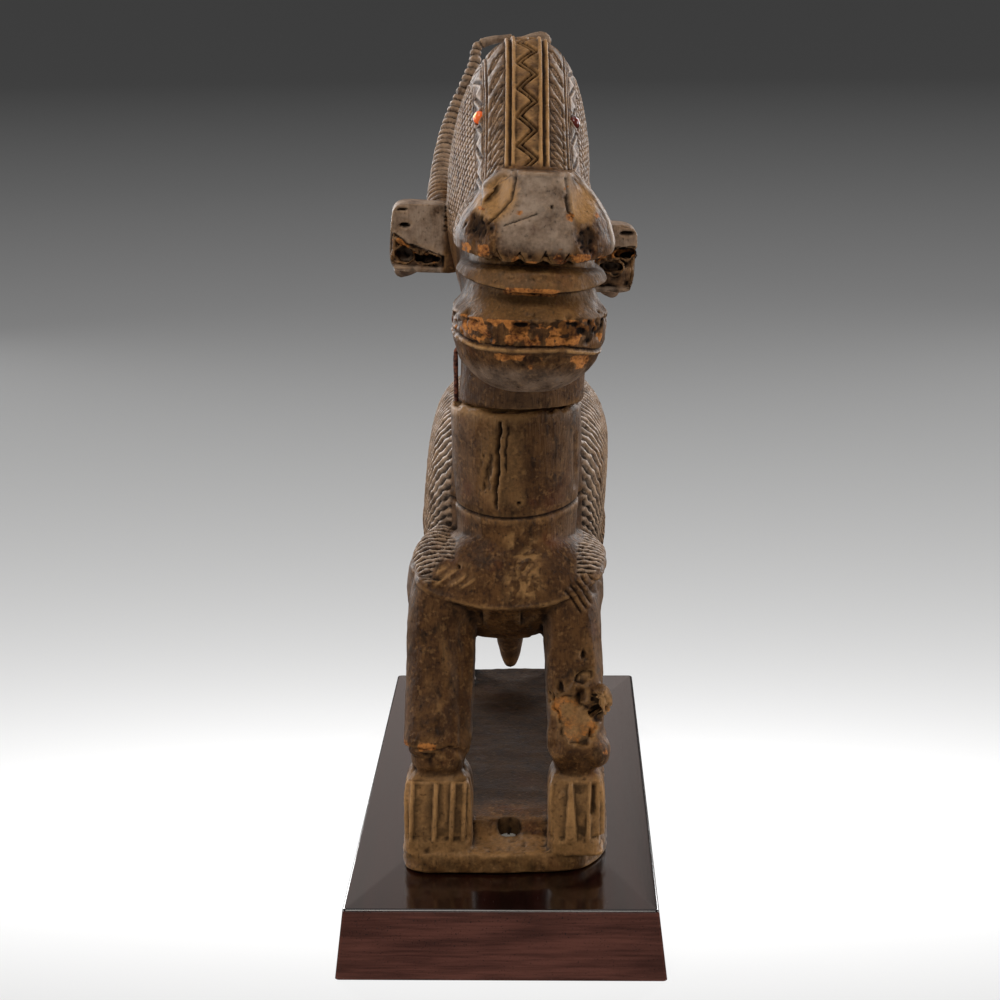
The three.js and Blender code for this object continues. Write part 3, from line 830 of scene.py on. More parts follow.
@dataclass
class CarvedBody(Carving):
    """Platform, fluted hooves, bent legs, arched trunk, chest and neck."""

    place: tuple = (1, -1, 30.3)
    deck: float = 16
    half_width: float = 44
    half_length: float = 116
    corner: float = 13
    shelf: Stations = ((-4, 9.4), (2, 10), (16, 11), (25, 16), (240, 16))
    hole: tuple = (1.2, -95.0)
    hole_radius: float = 4.7
    hole_seat: float = 5.5
    foot_y: float = -99.8
    rear_foot_y: float = 99.8
    foot_depth: float = 15
    foot_top: float = 40.2
    foot_rise: float = 4.5
    flutes: Stations = (
        (-38.5, 0.75), (-28.4, 0.9), (-21.1, 0.9), (-16, 0.7), (20.5, 0.6), (37.3, 0.7), (45, 0.6))
    leg_top: float = 124
    front_legs: tuple = ((-28.5, 14.5), (30.5, 12.2))
    rear_legs: tuple = ((-32, 11), (30, 11))
    trunk_front: float = -85
    trunk_rear: float = 102
    trunk_half: float = 41.5
    back: float = 201
    belly: float = 93
    lean: float = 5.3
    chest_front: float = -99
    lip: float = 113
    lip_rise: float = 11
    chest_half: float = 42
    chest_bottom: float = 92
    chest_top: float = 142
    neck_x: float = 5.3
    neck_y: float = -67
    neck_radius: float = 27.8
    neck_waist: float = 25.4
    neck_top: float = 197.2
    neck_line: float = 154
    pendant_at: tuple = (1.5, -46)
    axis: tuple = (6.3, -68)
    throat_pit: tuple = (7.8, 187.9)
    chest_pit: tuple = (-18.2, 160.3)
    shoulder: tuple = (4.3, 29, 28)
    haunch: tuple = (24, 31, 36)
    growths: tuple = (((42.0, -103.5, 74.2), (4.2, 8, 7.2)), ((38.5, -104.5, 52.0), (6, 9, 7)))
    hide_radius: float = 46
    hide_tilt: float = 46
    hide_pitch: float = 2.6
    hide_length: float = 6.8
    hide_bare: tuple = (((-20, 154.5), (11, 9)), ((34, 149), (9, 8)))
    knee: float = 86.6
    corner_bars: Stations = ((5.2, -6, 2, 0.5), (2.2, -8, 5, 0.45), (-1.6, -3, 8, 0.5), (-4.4, 1, 10, 0.4))
    leg_cuts: Stations = ((-1, -28.5, 11.2, 4.4), (1, 30.5, 13.6, 3.2))
    torn_holes: Stations = (
        (34.9, 123, 1.1, 2.5), (24.8, 110.2, 1.3, 2.8), (33.5, 106.5, 2.2, 3.5), (39.0, 101.5, 1.6, 3.0),
        (38.6, 92.0, 1.3, 2.0))
    voxel: float = 0.58

    def platform(self) -> Shell:
        """A slab with rounded corners: its outline is drawn in to the middle over a stepped top."""
        w, h, c = self.half_width, self.half_length, self.corner
        corners = [
            ((-w, -h + c), (-w, -h), (-w + c, -h)),
            ((-w + c, -h), (0, -h - 1.5), (w - 1.6 * c, -h + 2)),
            ((w - 1.6 * c, -h + 2), (w - 0.4 * c, -h + 3), (w, -h + 2 * c)),
            ((w, -h + 2 * c), (w, 0), (w, h - c)),
            ((w, h - c), (w, h), (w - c, h)),
            ((w - c, h), (0, h), (-w + c, h)),
            ((-w + c, h), (-w, h), (-w, h - c)),
            ((-w, h - c), (-w, 0), (-w, -h + c)),
        ]
        t = np.linspace(0, 1, 24, endpoint=False)[:, None]
        outline = np.concatenate([
            (1 - t) ** 2 * np.array(a) + 2 * t * (1 - t) * np.array(b) + t * t * np.array(e)
            for a, b, e in corners
        ])
        high = track(self.shelf, outline[:, 1] + h)
        under = np.zeros(len(outline))
        rings = [np.column_stack([outline * share, under]) for share in (0.5, 0.97, 0.985)]
        rings += [np.column_stack([outline, 1.2 + share * (high - 2.4)]) for share in np.linspace(0, 1, 6)]
        for flat in outline * np.linspace(0.988, 0.02, 60)[:, None, None]:
            rings.append(np.column_stack([flat, track(self.shelf, flat[:, 1] + h)]))
        recess = turned((self.hole_radius,) * 2, self.hole, (self.hole_seat, self.deck + 1), 48)
        return cut(loft(np.stack(rings)), recess)

    def foot(self, x: float, half: float, y: float) -> Shell:
        """A hoof block, squared in plan, whose front leans back towards its top."""
        outline = oval(96, 7)
        top, drawn = self.foot_top, self.foot_top + self.foot_rise
        stations = (
            (8, 0, 1), (16, 0, 1), (32.5, 2.3, 1), (37.5, 4.0, 0.96), (top, 5.6, 0.88), (drawn, 9.0, 0.66))
        z = np.linspace(8, drawn, 28)
        back, wide = track(stations, z).T
        reach = np.where(outline[:, 1] < 0, self.foot_depth - back[:, None], self.foot_depth)
        return loft(ovals(outline, (x, y), (half * wide, reach), z))

    def leg(self, x: float, half: float, stations: Stations, outline: Array) -> Shell:
        """A bent leg: squared ovals whose centre, width and depth follow the stations.

        Args:
            x: middle of the leg at its foot.
            half: half width that the stations scale.
            stations: height share, y, width share, depth and inward shift.
            outline: the section on unit axes.

        Returns:
            The leg's closed skin.
        """
        share = np.linspace(stations[0][0], stations[-1][0], 60)
        y, wide, deep, shift = track(stations, share).T
        middle = x - np.sign(x) * shift
        return loft(ovals(outline, (middle, y), (wide * half, deep), share * self.leg_top))

    def limbs(self) -> list[Shell]:
        """Four legs on four hooves."""
        outline = oval(96, 3.4)
        y = self.foot_y
        front = (
            (0.3, y + 3, 0.66, 9, 0), (0.37, y + 2, 0.78, 12, 0), (0.43, y + 1, 0.98, 14.5, 0),
            (0.49, y + 2.5, 1, 14.5, 0), (0.68, y + 14, 1.02, 16, 0.8), (0.86, y + 23, 1.03, 20, 1.6),
            (1.0, y + 31, 0.9, 25, 3))
        y = self.rear_foot_y
        rear = (
            (0.3, y + 2, 0.7, 9, 0), (0.38, y + 3, 0.8, 11, 0), (0.46, y + 3, 0.98, 12.5, 0),
            (0.55, y - 2, 1, 14, 0), (0.75, y - 13, 1.1, 20, 0.5), (0.98, y - 26, 1.2, 26, 2))
        shells = []
        for legs, stations, at in (
            (self.front_legs, front, self.foot_y), (self.rear_legs, rear, self.rear_foot_y),
        ):
            for x, half in legs:
                shells += [self.foot(x, half, at), self.leg(x, half, stations, outline)]
        return shells

    def trunk(self) -> Shell:
        """Squared ovals across the length, whose top, bottom and width follow stations."""
        share = np.linspace(0, 1, 80)
        tall = self.back - self.belly
        top = track(((0, 0.78), (0.16, 0.88), (0.28, 0.96), (0.44, 1), (0.62, 0.95), (0.8, 0.82),
                     (0.93, 0.62), (1, 0.44)), share)
        bottom = track(((0, 0.3), (0.12, 0.03), (0.3, 0), (0.6, 0.03), (0.85, 0.06), (1, 0.2)), share)
        width = track(((0, 0.3), (0.07, 0.48), (0.14, 0.76), (0.25, 0.94), (0.45, 1), (0.7, 1), (0.88, 0.86),
                       (1, 0.45)), share)
        outline = oval(120, 2.8)
        high, low = self.belly + tall * top, self.belly + tall * bottom
        middle, half = (high + low) / 2, (high - low) / 2
        z = upright(middle) + upright(half) * outline[:, 1]
        lean = self.lean * np.clip((z - self.belly) / (0.7 * tall), 0, 1)
        y = self.trunk_front + share * (self.trunk_rear - self.trunk_front)
        rings = ovals(outline, (lean, middle), (self.trunk_half * width, half), y)
        return loft(rings[..., [0, 2, 1]])

    def chest(self) -> Shell:
        """Plan ovals from the neck's foot out to a lip, which climbs with the square of x."""
        z = np.linspace(self.chest_bottom, self.chest_top, 60)
        lip = self.lip
        width = track(((self.chest_bottom, 0.5), (lip - 9, 0.82), (lip - 1, 0.97), (lip, 1), (lip + 6, 0.97),
                       (lip + 14, 0.84), (self.chest_top - 7, 0.68), (self.chest_top, 0.52)), z)
        bulge = track(((self.chest_bottom, 0.35), (lip - 9, 0.76), (lip - 1, 0.96), (lip, 1),
                       (lip + 14, 0.93), (self.chest_top, 0.78)), z)
        outline = oval(120, 3)
        middle = self.neck_y + 6
        climb = self.lip_rise * np.maximum(0, 1 - np.abs(z - lip) / (self.chest_top - lip))
        share = (z - self.chest_bottom) / (self.neck_line - self.chest_bottom)
        places = (0.5 + share * (self.neck_x - 0.5), middle)
        half = (self.chest_half * width, (middle - self.chest_front) * bulge)
        return loft(ovals(outline, places, half, upright(z) + upright(climb) * outline[:, 0] ** 2))

    def neck(self) -> Shell:
        """A turned column: a profile of radius over height carried round the neck's axis."""
        waist, wide = self.neck_waist, self.neck_radius
        z = np.linspace(self.lip, self.neck_top, 80)
        radius = track(((self.lip, waist), (self.neck_line - 30, waist), (self.neck_line, waist + 0.9),
                        (self.neck_line + 26, wide), (self.neck_top - 1.5, wide),
                        (self.neck_top, wide - 0.8)), z)
        return turned(radius, (self.neck_x, self.neck_y), z, 120)

    def tail(self) -> Shell:
        """A tapered bar down the rump."""
        rump = self.back - 0.3 * (self.back - self.belly)
        path = spline((
            (self.lean, self.trunk_rear - 22, rump), (self.lean, self.trunk_rear + 1, rump - 18.4),
            (self.lean - 1, self.trunk_rear + 7, rump - 50.6),
            (self.lean - 2, self.trunk_rear + 4, rump - 92),
        ), 50)
        return sweep(path, np.linspace(5.5, 2.75, 50), 32)

    def pendant(self) -> Shell:
        """The short taper under the belly."""
        stations = ((-6, 8.7), (0, 7), (9.2, 5.9), (17.2, 4.2), (22, 2.2), (23, 0.6))
        down = np.linspace(-6, 23, 30)
        radius = track(stations, down)
        return loft(ovals(oval(48, 2.2), self.pendant_at, (radius, radius), self.belly - down))

    def masses(self) -> list[Shell]:
        """Shoulders over the forelegs, haunches over the hind legs and the growth on one knee."""
        shells = []
        for x, half in self.front_legs:
            wider, deep, high = self.shoulder
            shells.append(ball((x - np.sign(x) * 4, self.foot_y + 38, 112.2), (half + wider, deep, high)))
        for x, _ in self.rear_legs:
            shells.append(ball((x - np.sign(x) * 9 + 2, self.rear_foot_y - 26, 106.6), self.haunch))
        return shells + [ball(middle, half, 20) for middle, half in self.growths]

    def relief(self, p: Array, n: Array) -> Array:
        """Carved depth along the normals, in millimetres, at points of the part's frame."""
        hide = (1.35 * self.grains(p) - 1.1) * self.flank(p)
        marks = (self._neck_marks, self._chest_marks, self._legs_and_feet, self._deck_marks)
        return hide + sum(mark(p, n) for mark in marks) + 0.16 * noise(p, 3.1, 5) + 0.25 * noise(p, 8.0, 6)

    def lip_line(self, x: Array) -> Array:
        """Height of the chest's lip, which climbs with the square of x."""
        return 143.2 + self.lip_rise * ((x - 1.5) / 42) ** 2

    def flank(self, p: Array) -> Array:
        """1 where the hide pattern covers the trunk, 0 on neck, chest, belly, legs and tail."""
        x, y, z = p.T
        round_neck = np.hypot(x - self.axis[0], y - self.axis[1])
        low = track(((-100, 158), (-70, 143), (-40, 133), (0, 129), (40, 127), (75, 120), (110, 118)), y)
        ahead = 1 - ramp(y, -64, -34)
        low = ahead * (self.lip_line(x) + 2.5) + (1 - ahead) * low
        spine = ramp(np.abs(x - self.axis[0]), 1.6, 2.6)
        tail = ramp(np.hypot(x - 5, (y - 110) * 0.35), 6, 8)
        chest = np.maximum(ramp(y, -56, -52), ramp(np.abs(x - 6), 25.5, 26.8))
        bare = np.prod([ramp(-within(x, z, *spot), -0.15, 0) for spot in self.hide_bare], axis=0)
        bare = np.maximum(bare, y > -60)
        return ramp(z, low, low + 2.0) * ramp(round_neck, 28.6, 29.8) * spine * tail * chest * bare

    def grains(self, p: Array) -> Array:
        """Staggered slots in rows across the hide: 1 on the wood between them, 0 in a slot."""
        x, y, z = p.T
        unrolled = self.hide_radius * np.arctan2(np.abs(x - self.axis[0]), z - 150)
        tilt = math.radians(self.hide_tilt)
        along = y * math.cos(tilt) + unrolled * math.sin(tilt) + 0.5 * noise(p, 6, 4)
        across = -y * math.sin(tilt) + unrolled * math.cos(tilt) + 0.3 * noise(p, 9, 3)
        row = np.floor(across / self.hide_pitch)
        u = np.abs(2 * (across / self.hide_pitch - row) - 1)
        cell = along / self.hide_length + 0.5 * np.mod(row, 2)
        v = np.abs(2 * (cell % 1) - 1)
        return ramp(u + 0.5 * v**2, 0.32, 0.85)

    def _neck_marks(self, p: Array, n: Array) -> Array:
        """The crack down the throat, its rough pits, the ring line and the worn rim."""
        x, y, z = p.T
        front = ramp(-n[:, 1], 0.1, 0.4)
        from_axis = np.hypot(x - self.axis[0], y - self.axis[1])
        on_neck = strip(from_axis - 27, 3.4, 1.5) * ramp(z, 150, 154) * (z < 228)
        line = 181.0 + 0.0042 * (x - 3) ** 2
        depth = -0.8 * strip(z - line, 0.25, 0.7) + 0.3 * strip(z - line + 2.4, 0.9, 1.8)
        crack_x = -2.2 + (z - 186) * 0.058 + 0.35 * np.sin(z * 0.35) + 0.2 * np.sin(z * 1.1)
        width = 0.3 + 0.3 * np.sin((z - 184) / 38 * np.pi)
        span = between(z, 184, 187, 221.5, 223.5)
        depth -= 3.4 * strip(x - crack_x, width, 0.6) * span * front
        depth += 0.5 * strip(x - crack_x - 1.9, 0.5, 0.9) * span * front
        depth -= 0.8 * strip(x - crack_x - 3.5, 0.2, 0.5) * between(z, 200, 203, 219, 222) * front
        rough = strip(x - crack_x + 4.5, 1.2, 2.4) * between(z, 190, 194, 211, 214) * front
        depth -= 1.1 * rough * ramp(noise(p * (1, 1, 0.45), 1.5, 8), 0.05, 0.5)
        depth -= 1.4 * self.pit(x, z, self.throat_pit, 0.5) * front
        depth -= 1.0 * strip(x - 31.6, 0.4, 0.7) * between(z, 189, 193, 213, 217) * (y < -66)
        chips = ramp(noise(p * (1, 1, 0), 4, 9), -0.1, 0.5)
        depth -= (0.5 + 1.1 * chips) * ramp(z, 224.6, 227)
        depth -= 0.12 * facets(x + 200, z, 9.5, 90) * front
        return depth * on_neck

    def _chest_marks(self, p: Array, n: Array) -> Array:
        """Knife planes down the chest, the cut corner on one side and four grooves on the other."""
        x, y, z = p.T
        front = ramp(-n[:, 1], 0.05, 0.35) * (y < -58)
        on_chest = between(z, 141, 146, 178, 183) * front
        planes = facets(x + 203 + 0.05 * (z - 160), z + 4, 9.8, 90)
        depth = -0.3 * planes * on_chest - 0.25 * self.flecks(p) * front
        slant = (x - 34.6) * 0.56 - (z - 148.6) * 0.83
        across = (x - 34.6) * 0.83 + (z - 148.6) * 0.56 + 0.3 * noise(p, 4, 13)
        groove = np.abs((across / 2.9 + 0.25) % 1 - 0.5)
        grooves = strip(groove, 0.05, 0.2) * strip(across, 6.4, 0.6) * strip(slant, 5.0, 2.5)
        depth -= 0.9 * grooves * front * (x > 22)
        hollow = strip(1 - within(x, z, (-20, 154.5), (11, 8)), 0.6, 0.4) * (x < -8)
        depth += (0.3 * self.bars(p) - 0.4 * hollow) * front
        depth -= 1.5 * self.pit(x, z, self.chest_pit, 0.5) * front
        return depth + 0.6 * strip(z - self.lip_line(x), 0.5, 0.9) * (y < -30) * front

    def flecks(self, p: Array) -> Array:
        """1 on the worn flecks down the middle of the chest."""
        x, y, z = p.T
        here = strip(x - 9 + 0.06 * (z - 160), 3.5, 6) * between(z, 144, 150, 170, 182) * (y < -80)
        return ramp(noise(p, 2.1, 12) + 0.6 * noise(p, 0.9, 19), 0.06, 0.4) * here

    def bars(self, p: Array) -> Array:
        """1 on the slanting bars cut at the chest's left corner."""
        x, y, z = p.T
        along = (x + 21) * 0.84 + (z - 154.5) * 0.54
        across = -(x + 21) * 0.54 + (z - 154.5) * 0.84 + 0.4 * noise(p, 4, 14)
        found = np.zeros(len(p))
        for at, start, end, half in self.corner_bars:
            bar = strip(across - at, half * 0.5, 0.6) * between(along, start, start + 2, end - 2, end)
            found = np.maximum(found, bar)
        return found * (x < -9) * (y < -58)

    def _legs_and_feet(self, p: Array, n: Array) -> Array:
        """Flutes down the hooves, long knife planes on the legs and the torn wood of one foreleg."""
        x, y, z = p.T
        front = ramp(-n[:, 1], 0.3, 0.7)
        hoof = between(z, 43.5, 46, 68.5, 70.5)
        ahead = hoof * front * (np.abs(y) > 95)
        depth = -0.8 * ahead * (np.abs(x) > 12)
        for at, wide in self.flutes:
            depth += 1.3 * strip(x - at - 0.05 * (z - 60), wide * 0.5, 0.9) * ahead
        wedge = 0.4 + (68 - z) * 0.075
        depth += 1.3 * (1 - ramp(np.abs(x - 29.3), wedge, wedge + 1.0)) * ahead
        depth -= 2.6 * strip(x - 38.9 - 0.05 * (z - 64), 0.8, 0.9) * ramp(z, 55, 58) * ahead
        side = ramp(np.abs(n[:, 0]), 0.4, 0.8) * hoof
        depth -= 0.7 * side * strip(np.mod(y + 2, 9) - 4.5, 1.0, 1.6)
        on_leg = between(z, 88, 93, 134, 142) * (np.abs(x) > 12)
        depth -= 0.55 * on_leg * facets(x * 0.9 + y * 0.75 + 310, z + 3 * noise(p, 20, 2), 8.2, 60)
        for side, middle, inner, deepest in self.leg_cuts:
            for lean, reach in ((1, inner + 0.02 * (z - 84)), (-1, 18.4)):
                over = -lean * side * (x - middle) * 0.6 - (y + 100 - 0.28 * (z - 84)) * 0.8 - reach
                here = between(z, 76, 82, 132, 144) * (y < -60) * (x * side > 8)
                depth -= np.clip(over, 0, deepest) * here
        depth += 0.35 * on_leg * noise(p * (1, 1, 0.3), 3.4, 15)
        depth += self._torn(p, front)
        knee = ramp(self.knee + 1.2 * noise(p, 3.4, 16) - z, 0, 1.4) * ramp(z, 76, 80)
        depth -= knee * strip(x + 31, 11, 3) * (y < -96) * (1.5 + 0.5 * noise(p, 2.2, 17))
        under = (z < 83.5) * (z > 70) * (y < -100) * (x < 0)
        depth -= 0.8 * under * ramp(noise(p, 4.5, 18), 0, 0.5)
        return depth

    def torn(self, p: Array) -> Array:
        """1 on the patch of the right foreleg where the crust has broken away."""
        x, y, z = p.T
        patch = within(x + 0.35 * (z - 98), z, (31.0, 98), (8.5, 10.5))
        chip = within(x - 0.6 * (z - 114.5), z, (35, 114.5), (4.5, 3))
        growth = within(x, z, (43.2, 103), (4.6, 7.5))
        edge = 0.28 * noise(p, 4.6, 21) + 0.2 * noise(p, 1.9, 22)
        inside = most(patch, growth, chip) + edge
        return ramp(inside, 0.02, 0.14) * (x > 12) * (y < -88)

    def _torn(self, p: Array, front: Array) -> Array:
        """Broken crust: a sunk floor with soft lumps, a ragged rim, and a few holes."""
        x, y, z = p.T
        near = (x > 12) * (y < -85)
        inside = self.torn(p)
        depth = -inside * (2.0 + 1.3 * noise(p, 5.2, 23))
        for cx, cz, r, deep in self.torn_holes:
            gap = np.hypot(x - cx, (z - cz) * 0.7) + 0.5 * noise(p, 2, 25)
            depth -= deep * (1 - ramp(gap, r * 0.4, r * 1.5)) * front
        depth += 1.0 * noise(p, 6, 24) * between(z, 74, 80, 92, 104)
        return depth * near

    def _deck_marks(self, p: Array, n: Array) -> Array:
        """Broad adze scoops across the deck, a rough front edge and a chipped corner."""
        x, y, z = p.T
        up = ramp(n[:, 2], 0.6, 0.9) * (z < 50)
        across, along = y + 300 + 0.15 * x + 7 * noise(p, 32, 30), x + 14 * noise(p, 30, 31)
        depth = -0.5 * up * facets(across, along, 22, 60)
        depth += 0.12 * up * noise(p * (0.35, 1, 1), 3.4, 32)
        slab = (z < 47) * (z > 30.6) * ramp(np.abs(n[:, 2]), 0.95, 0.5)
        rough = slab * ramp(z, 30.6, 32)
        depth += rough * (0.55 * noise(p, 5.5, 33) + 0.35 * noise(p, 2.2, 34) - 0.2)
        corner = within(x, y, (43, -108), (9, 14))
        depth -= 1.8 * ramp(corner, 0.1, 0.6) * rough
        shelf = ramp(n[:, 2], 0.5, 0.9) * (y < -92) * (z < 47)
        depth += shelf * (0.5 * noise(p, 4.2, 35) - 0.35 * ramp(noise(p, 2.1, 36), 0.1, 0.5))
        return depth

    def build(self) -> bpy.types.Object:
        """Carves the block in the part's frame, level on its underside."""
        shells = [self.platform(), *self.limbs(), self.trunk(), self.chest(), self.neck(),
                  self.tail(), self.pendant(), *self.masses()]
        whole = self.carved([shell.moved(np.eye(3), self.place) for shell in shells], 4)
        whole.points[:, 2] = np.maximum(whole.points[:, 2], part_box("body")[0][2] / MM)
        whole.fields = self.wear(whole)
        return self.dressed("carved_body", whole, "body")

    def wear(self, whole: Shell) -> dict[str, Array]:
        """Where the wood is worn, torn or hollow, where painted shade darkens it and where a film and painted
        sheen grey it.
        """
        p, n = whole.points, whole.normals()
        x, y, z = p.T
        stand = whole.swelling(4)
        broken = strip(z - self.knee + 0.4 - 1.2 * noise(p, 3.4, 16), 1.4, 1.2) * (y < -96)
        knee = np.maximum(strip(x + 41.5, 1.8, 1.2), 0.9 * strip(x + 31.5, 3.2, 1.4)) * broken * (x < -10)
        torn = self.torn(p)
        growth = strip(x - 43.5, 3.0, 2) * strip(z - 82, 5, 2) * (y < -95)
        raw = most(
            0.62 * torn * ramp(noise(p, 4.2, 42), -0.6, 0.1), 1.3 * knee,
            0.7 * growth * ramp(noise(p, 3.6, 43), -0.2, 0.3))
        rim = ramp(z, 221, 226) * (z < 229) * strip(x + 6, 16, 6) * (y < -70)
        shelf = (z < 47) * (y < -90) * ramp(noise(p, 6, 41), -0.5, 0.3)
        beside = strip(x - 0.5, 7, 4) * between(z, 184, 190, 216, 222) * (y < -80)
        ridges = between(z, 32, 40, 70, 74) * (y < -100)
        tan = most(
            1.2 * self.flecks(p), 0.8 * rim, 0.4 * shelf, 0.35 * beside, 0.8 * torn, 0.9 * self.bars(p),
            0.65 * ridges)
        # Painted shade: darker on faces that look down, on the deck between the legs, round the screw hole,
        # and on the fronts of the neck, legs and chest sides, which lie in shadow.
        under = ramp(-n[:, 2], 0.1, 0.8) * (z > 60)
        deck = ramp(n[:, 2], 0.6, 0.9) * (z < 48) * ramp(y, -98, -60) * (0.9 + 0.2 * noise(p, 20, 44))
        screw = 0.7 * strip(np.hypot(x - 2.2, y + 96), 5.2, 2) * (z < 46)
        belly = 1 - ramp(y, -70, -50)
        legs = (np.abs(x + 2) > 12) * between(z, 84, 92, 150, 170)
        sides = ramp(np.abs(x - 7), 12, 18) * ramp(z, 146, 152)
        front = (y < -55) * most(0.34 * legs, 0.33 * (z > 180), 0.33 * sides)
        soot = most(0.8 * under * (1 - 0.8 * belly), deck, screw, front)
        hide, crest = self.flank(p), self.grains(p)
        # Painted sheen: a grey film on the hide's crests, partly a real worn film, and on faces that look
        # sideways.
        crests = (1.2 - 0.65 * ramp(y, -40, 30)) * hide * ramp(crest, 0.5, 0.95)
        film = np.maximum(crests, 0.2 * ramp(np.abs(n[:, 0]), 0.5, 1) * (1 - hide))
        hollow = np.maximum(ramp(-stand, 0.05, 0.34), hide * ramp(crest, 0.6, 0.2))
        return {
            "edge": ramp(stand, 0.05, 0.30), "hollow": hollow,
            "raw": raw, "soot": soot, "tan": tan, "film": film,
        }


# The head, carved from a second piece of wood


@dataclass
class CarvedHead(Carving):
    """Skull, muzzle in layers, ears and ringed horns, in a frame whose origin is over the neck.

    The tables of horns and ears hold the left one and then the right one.
    """

    pivot: tuple = (9, -68, 290)
    yaw: float = 5.2
    roll: float = 3.4
    muzzle: float = 66
    crest: float = 88
    half_width: float = 30.5
    rear: float = 72
    waist: float = 18
    arch: float = 2.3
    lip_half: float = 32.2
    lip_shift: float = 2.2
    stub_radius: float = 26.4
    stub_x: float = 3.3
    seat: float = 227.8
    seat_at: tuple = (6.3, -68)
    horn_radii: Stations = ((0, 8.6), (0.4, 5.6), (0.75, 3.4), (0.87, 2.4), (1, 1.3))
    horn_bends: Stations = ((15.2, 82.6, 16.5, 5.0), (15.0, 88.2, 12.5, -2.6))
    ear_drop: tuple = (0, 5.5)
    ear_reach: float = 24
    ear_y: float = 40
    ear_depth: float = 34
    ear_high: float = 31
    ear_hollows: tuple = (
        ((6.4, 23.4, 4.2, 3.4, 9), (15.5, 24.6, 6.0, 2.2, 4)),
        ((5.4, 13.0, 4.4, 2.8, 5), (11, 19.4, 5.4, 2.8, 7)))
    ear_notches: tuple = (
        ((4.7, 3.5, 2.6, 0.75, -0.12), (6.0, 10.4, 2.9, 1.25, 0.0)),
        ((5.6, 0.8, 3.4, 0.8, 0.0), (5.2, 4.2, 3.8, 1.15, 0.03)))
    ear_plate: tuple = (
        ((0, 12.8), (2.5, 13.6), (5, 15.2), (8, 17.4), (12, 19.0), (18, 21.0), (24, 23)),
        ((0, 9.6), (3, 9.4), (6, 10.0), (10, 10.2), (14, 12), (24, 14)))
    wood: str = "patinated_head"
    eye_spots: tuple = ((-21, -4), (18.2, -12))
    worn_spots: Stations = (
        (-20.0, 7.0, 2.9, 3.8), (-26.0, 6.3, 2.2, 2.2), (-7.4, 3.7, 1.8, 1.8), (-1.2, 2.4, 2.8, 1.5),
        (9.85, 4.6, 2.9, 4.2), (19.1, 5.3, 4.4, 2.2), (26.5, 5.2, 1.6, 1.3), (12.9, 21.0, 2.2, 1.8),
        (25.5, 21.8, 2.0, 1.8), (-20.7, 22.1, 1.6, 0.9), (-7.4, 21.7, 1.3, 1.3))
    band_x: float = -1.6
    band_slope: float = 0.038
    ridges: Stations = ((5.5, 0.45), (8.4, 0.5))
    face_half: Stations = ((3, 31.7), (11, 32.2), (19, 29.7), (27, 24.7), (32, 20.2), (37, 14))
    cheeks: tuple = (((-17.5, 28.5), (7.6, 8.5)), ((18.8, 26), (6.0, 8.2)))
    nostril_spots: tuple = (((-21.6, 14.8), (6.6, 7.2)), ((20.4, 12.6), (5.8, 6.8)))
    sooty_jaw: tuple = (((-4, -22.5), (4.6, 4.4)), ((19, -22.8), (11.5, 4.8)))
    snout_pit: tuple = (6, 24.7)
    creases: tuple = (
        (1.0, 0.3, 0.6, (16, 18), (17.0, 19.5, 26.7, 35.3, 38), (-19, -15.9, -9.7, -8.4, -7.4)),
        (0.8, 0.35, 0.7, (19, 22), (19, 23.1, 37.2), (15.5, 13.3, 11.4)))
    ring_pitch: float = 3.3
    tooth_notches: tuple = (-14.9, -5.9, 4.2, 13.6)
    teeth: Stations = (
        (-60, 6), (-32, 5.4), (-21.5, 4.0), (-17, 3.4), (-14.9, 5.0), (-12.5, 3.0), (-8, 2.9), (-5.9, 4.8),
        (-3.5, 2.8), (2, 2.7), (4.2, 4.6), (6.5, 2.6), (11.5, 2.8), (13.6, 4.8), (16, 3.2), (21.5, 4.2),
        (33, 6.2), (60, 6.2))

    def turn(self) -> Array:
        """The head's rotation: rolled about Y, then turned about Z."""
        yaw, roll = math.radians(self.yaw), math.radians(self.roll)
        return np.array(Matrix.Rotation(yaw, 3, "Z")) @ np.array(Matrix.Rotation(roll, 3, "Y"))

    def top(self, y: Array) -> Array:
        """Height of the skull's ridge along the head."""
        m, c = self.muzzle, self.crest
        shares = ((-0.79, 0.41), (-0.5, 0.575), (-0.2, 0.75), (0.1, 0.91), (0.28, 0.98), (0.42, 1),
                  (0.6, 0.97), (0.8, 0.84), (0.95, 0.64), (1.09, 0.44))
        return track([(m * a, c * b) for a, b in shares], y)

    def width(self, y: Array) -> Array:
        """Half width of the skull along the head."""
        shares = ((-0.79, 0.7), (-0.5, 0.74), (0, 0.88), (0.4, 0.98), (0.65, 1), (0.85, 0.9), (1.09, 0.62))
        return track([(self.muzzle * a, self.half_width * b) for a, b in shares], y)

    def height(self, x: float, y: float) -> float:
        """Height of the skull's arched top at a place."""
        across = min(abs(x) / float(self.width(y)), 1)
        return self.waist + (float(self.top(y)) - self.waist) * (1 - across**self.arch) ** (1 / self.arch)

    def skull(self) -> list[Shell]:
        """Arched ovals across the head, an upper run and a lower one."""
        m = self.muzzle
        outline = oval(140, self.arch)
        v = outline[:, 1]
        shells = []
        for start, end, floor in (
            (-0.79 * m, self.rear, ((-0.79 * m, 10), (-10, 0), (0.6 * self.rear, -22), (self.rear, 2))),
            (-0.42 * m, 0.55 * self.rear, ((-0.42 * m, -44), (0, -48), (0.55 * self.rear, -26))),
        ):
            y = np.linspace(start, end, 90)
            top, low, wide = self.top(y), track(floor, y), self.width(y)
            tall = np.where(v > 0, upright(top - self.waist), upright(self.waist - low))
            shells.append(loft(ovals(outline, (0, self.waist), (wide, tall), y)[..., [0, 2, 1]]))
        return shells

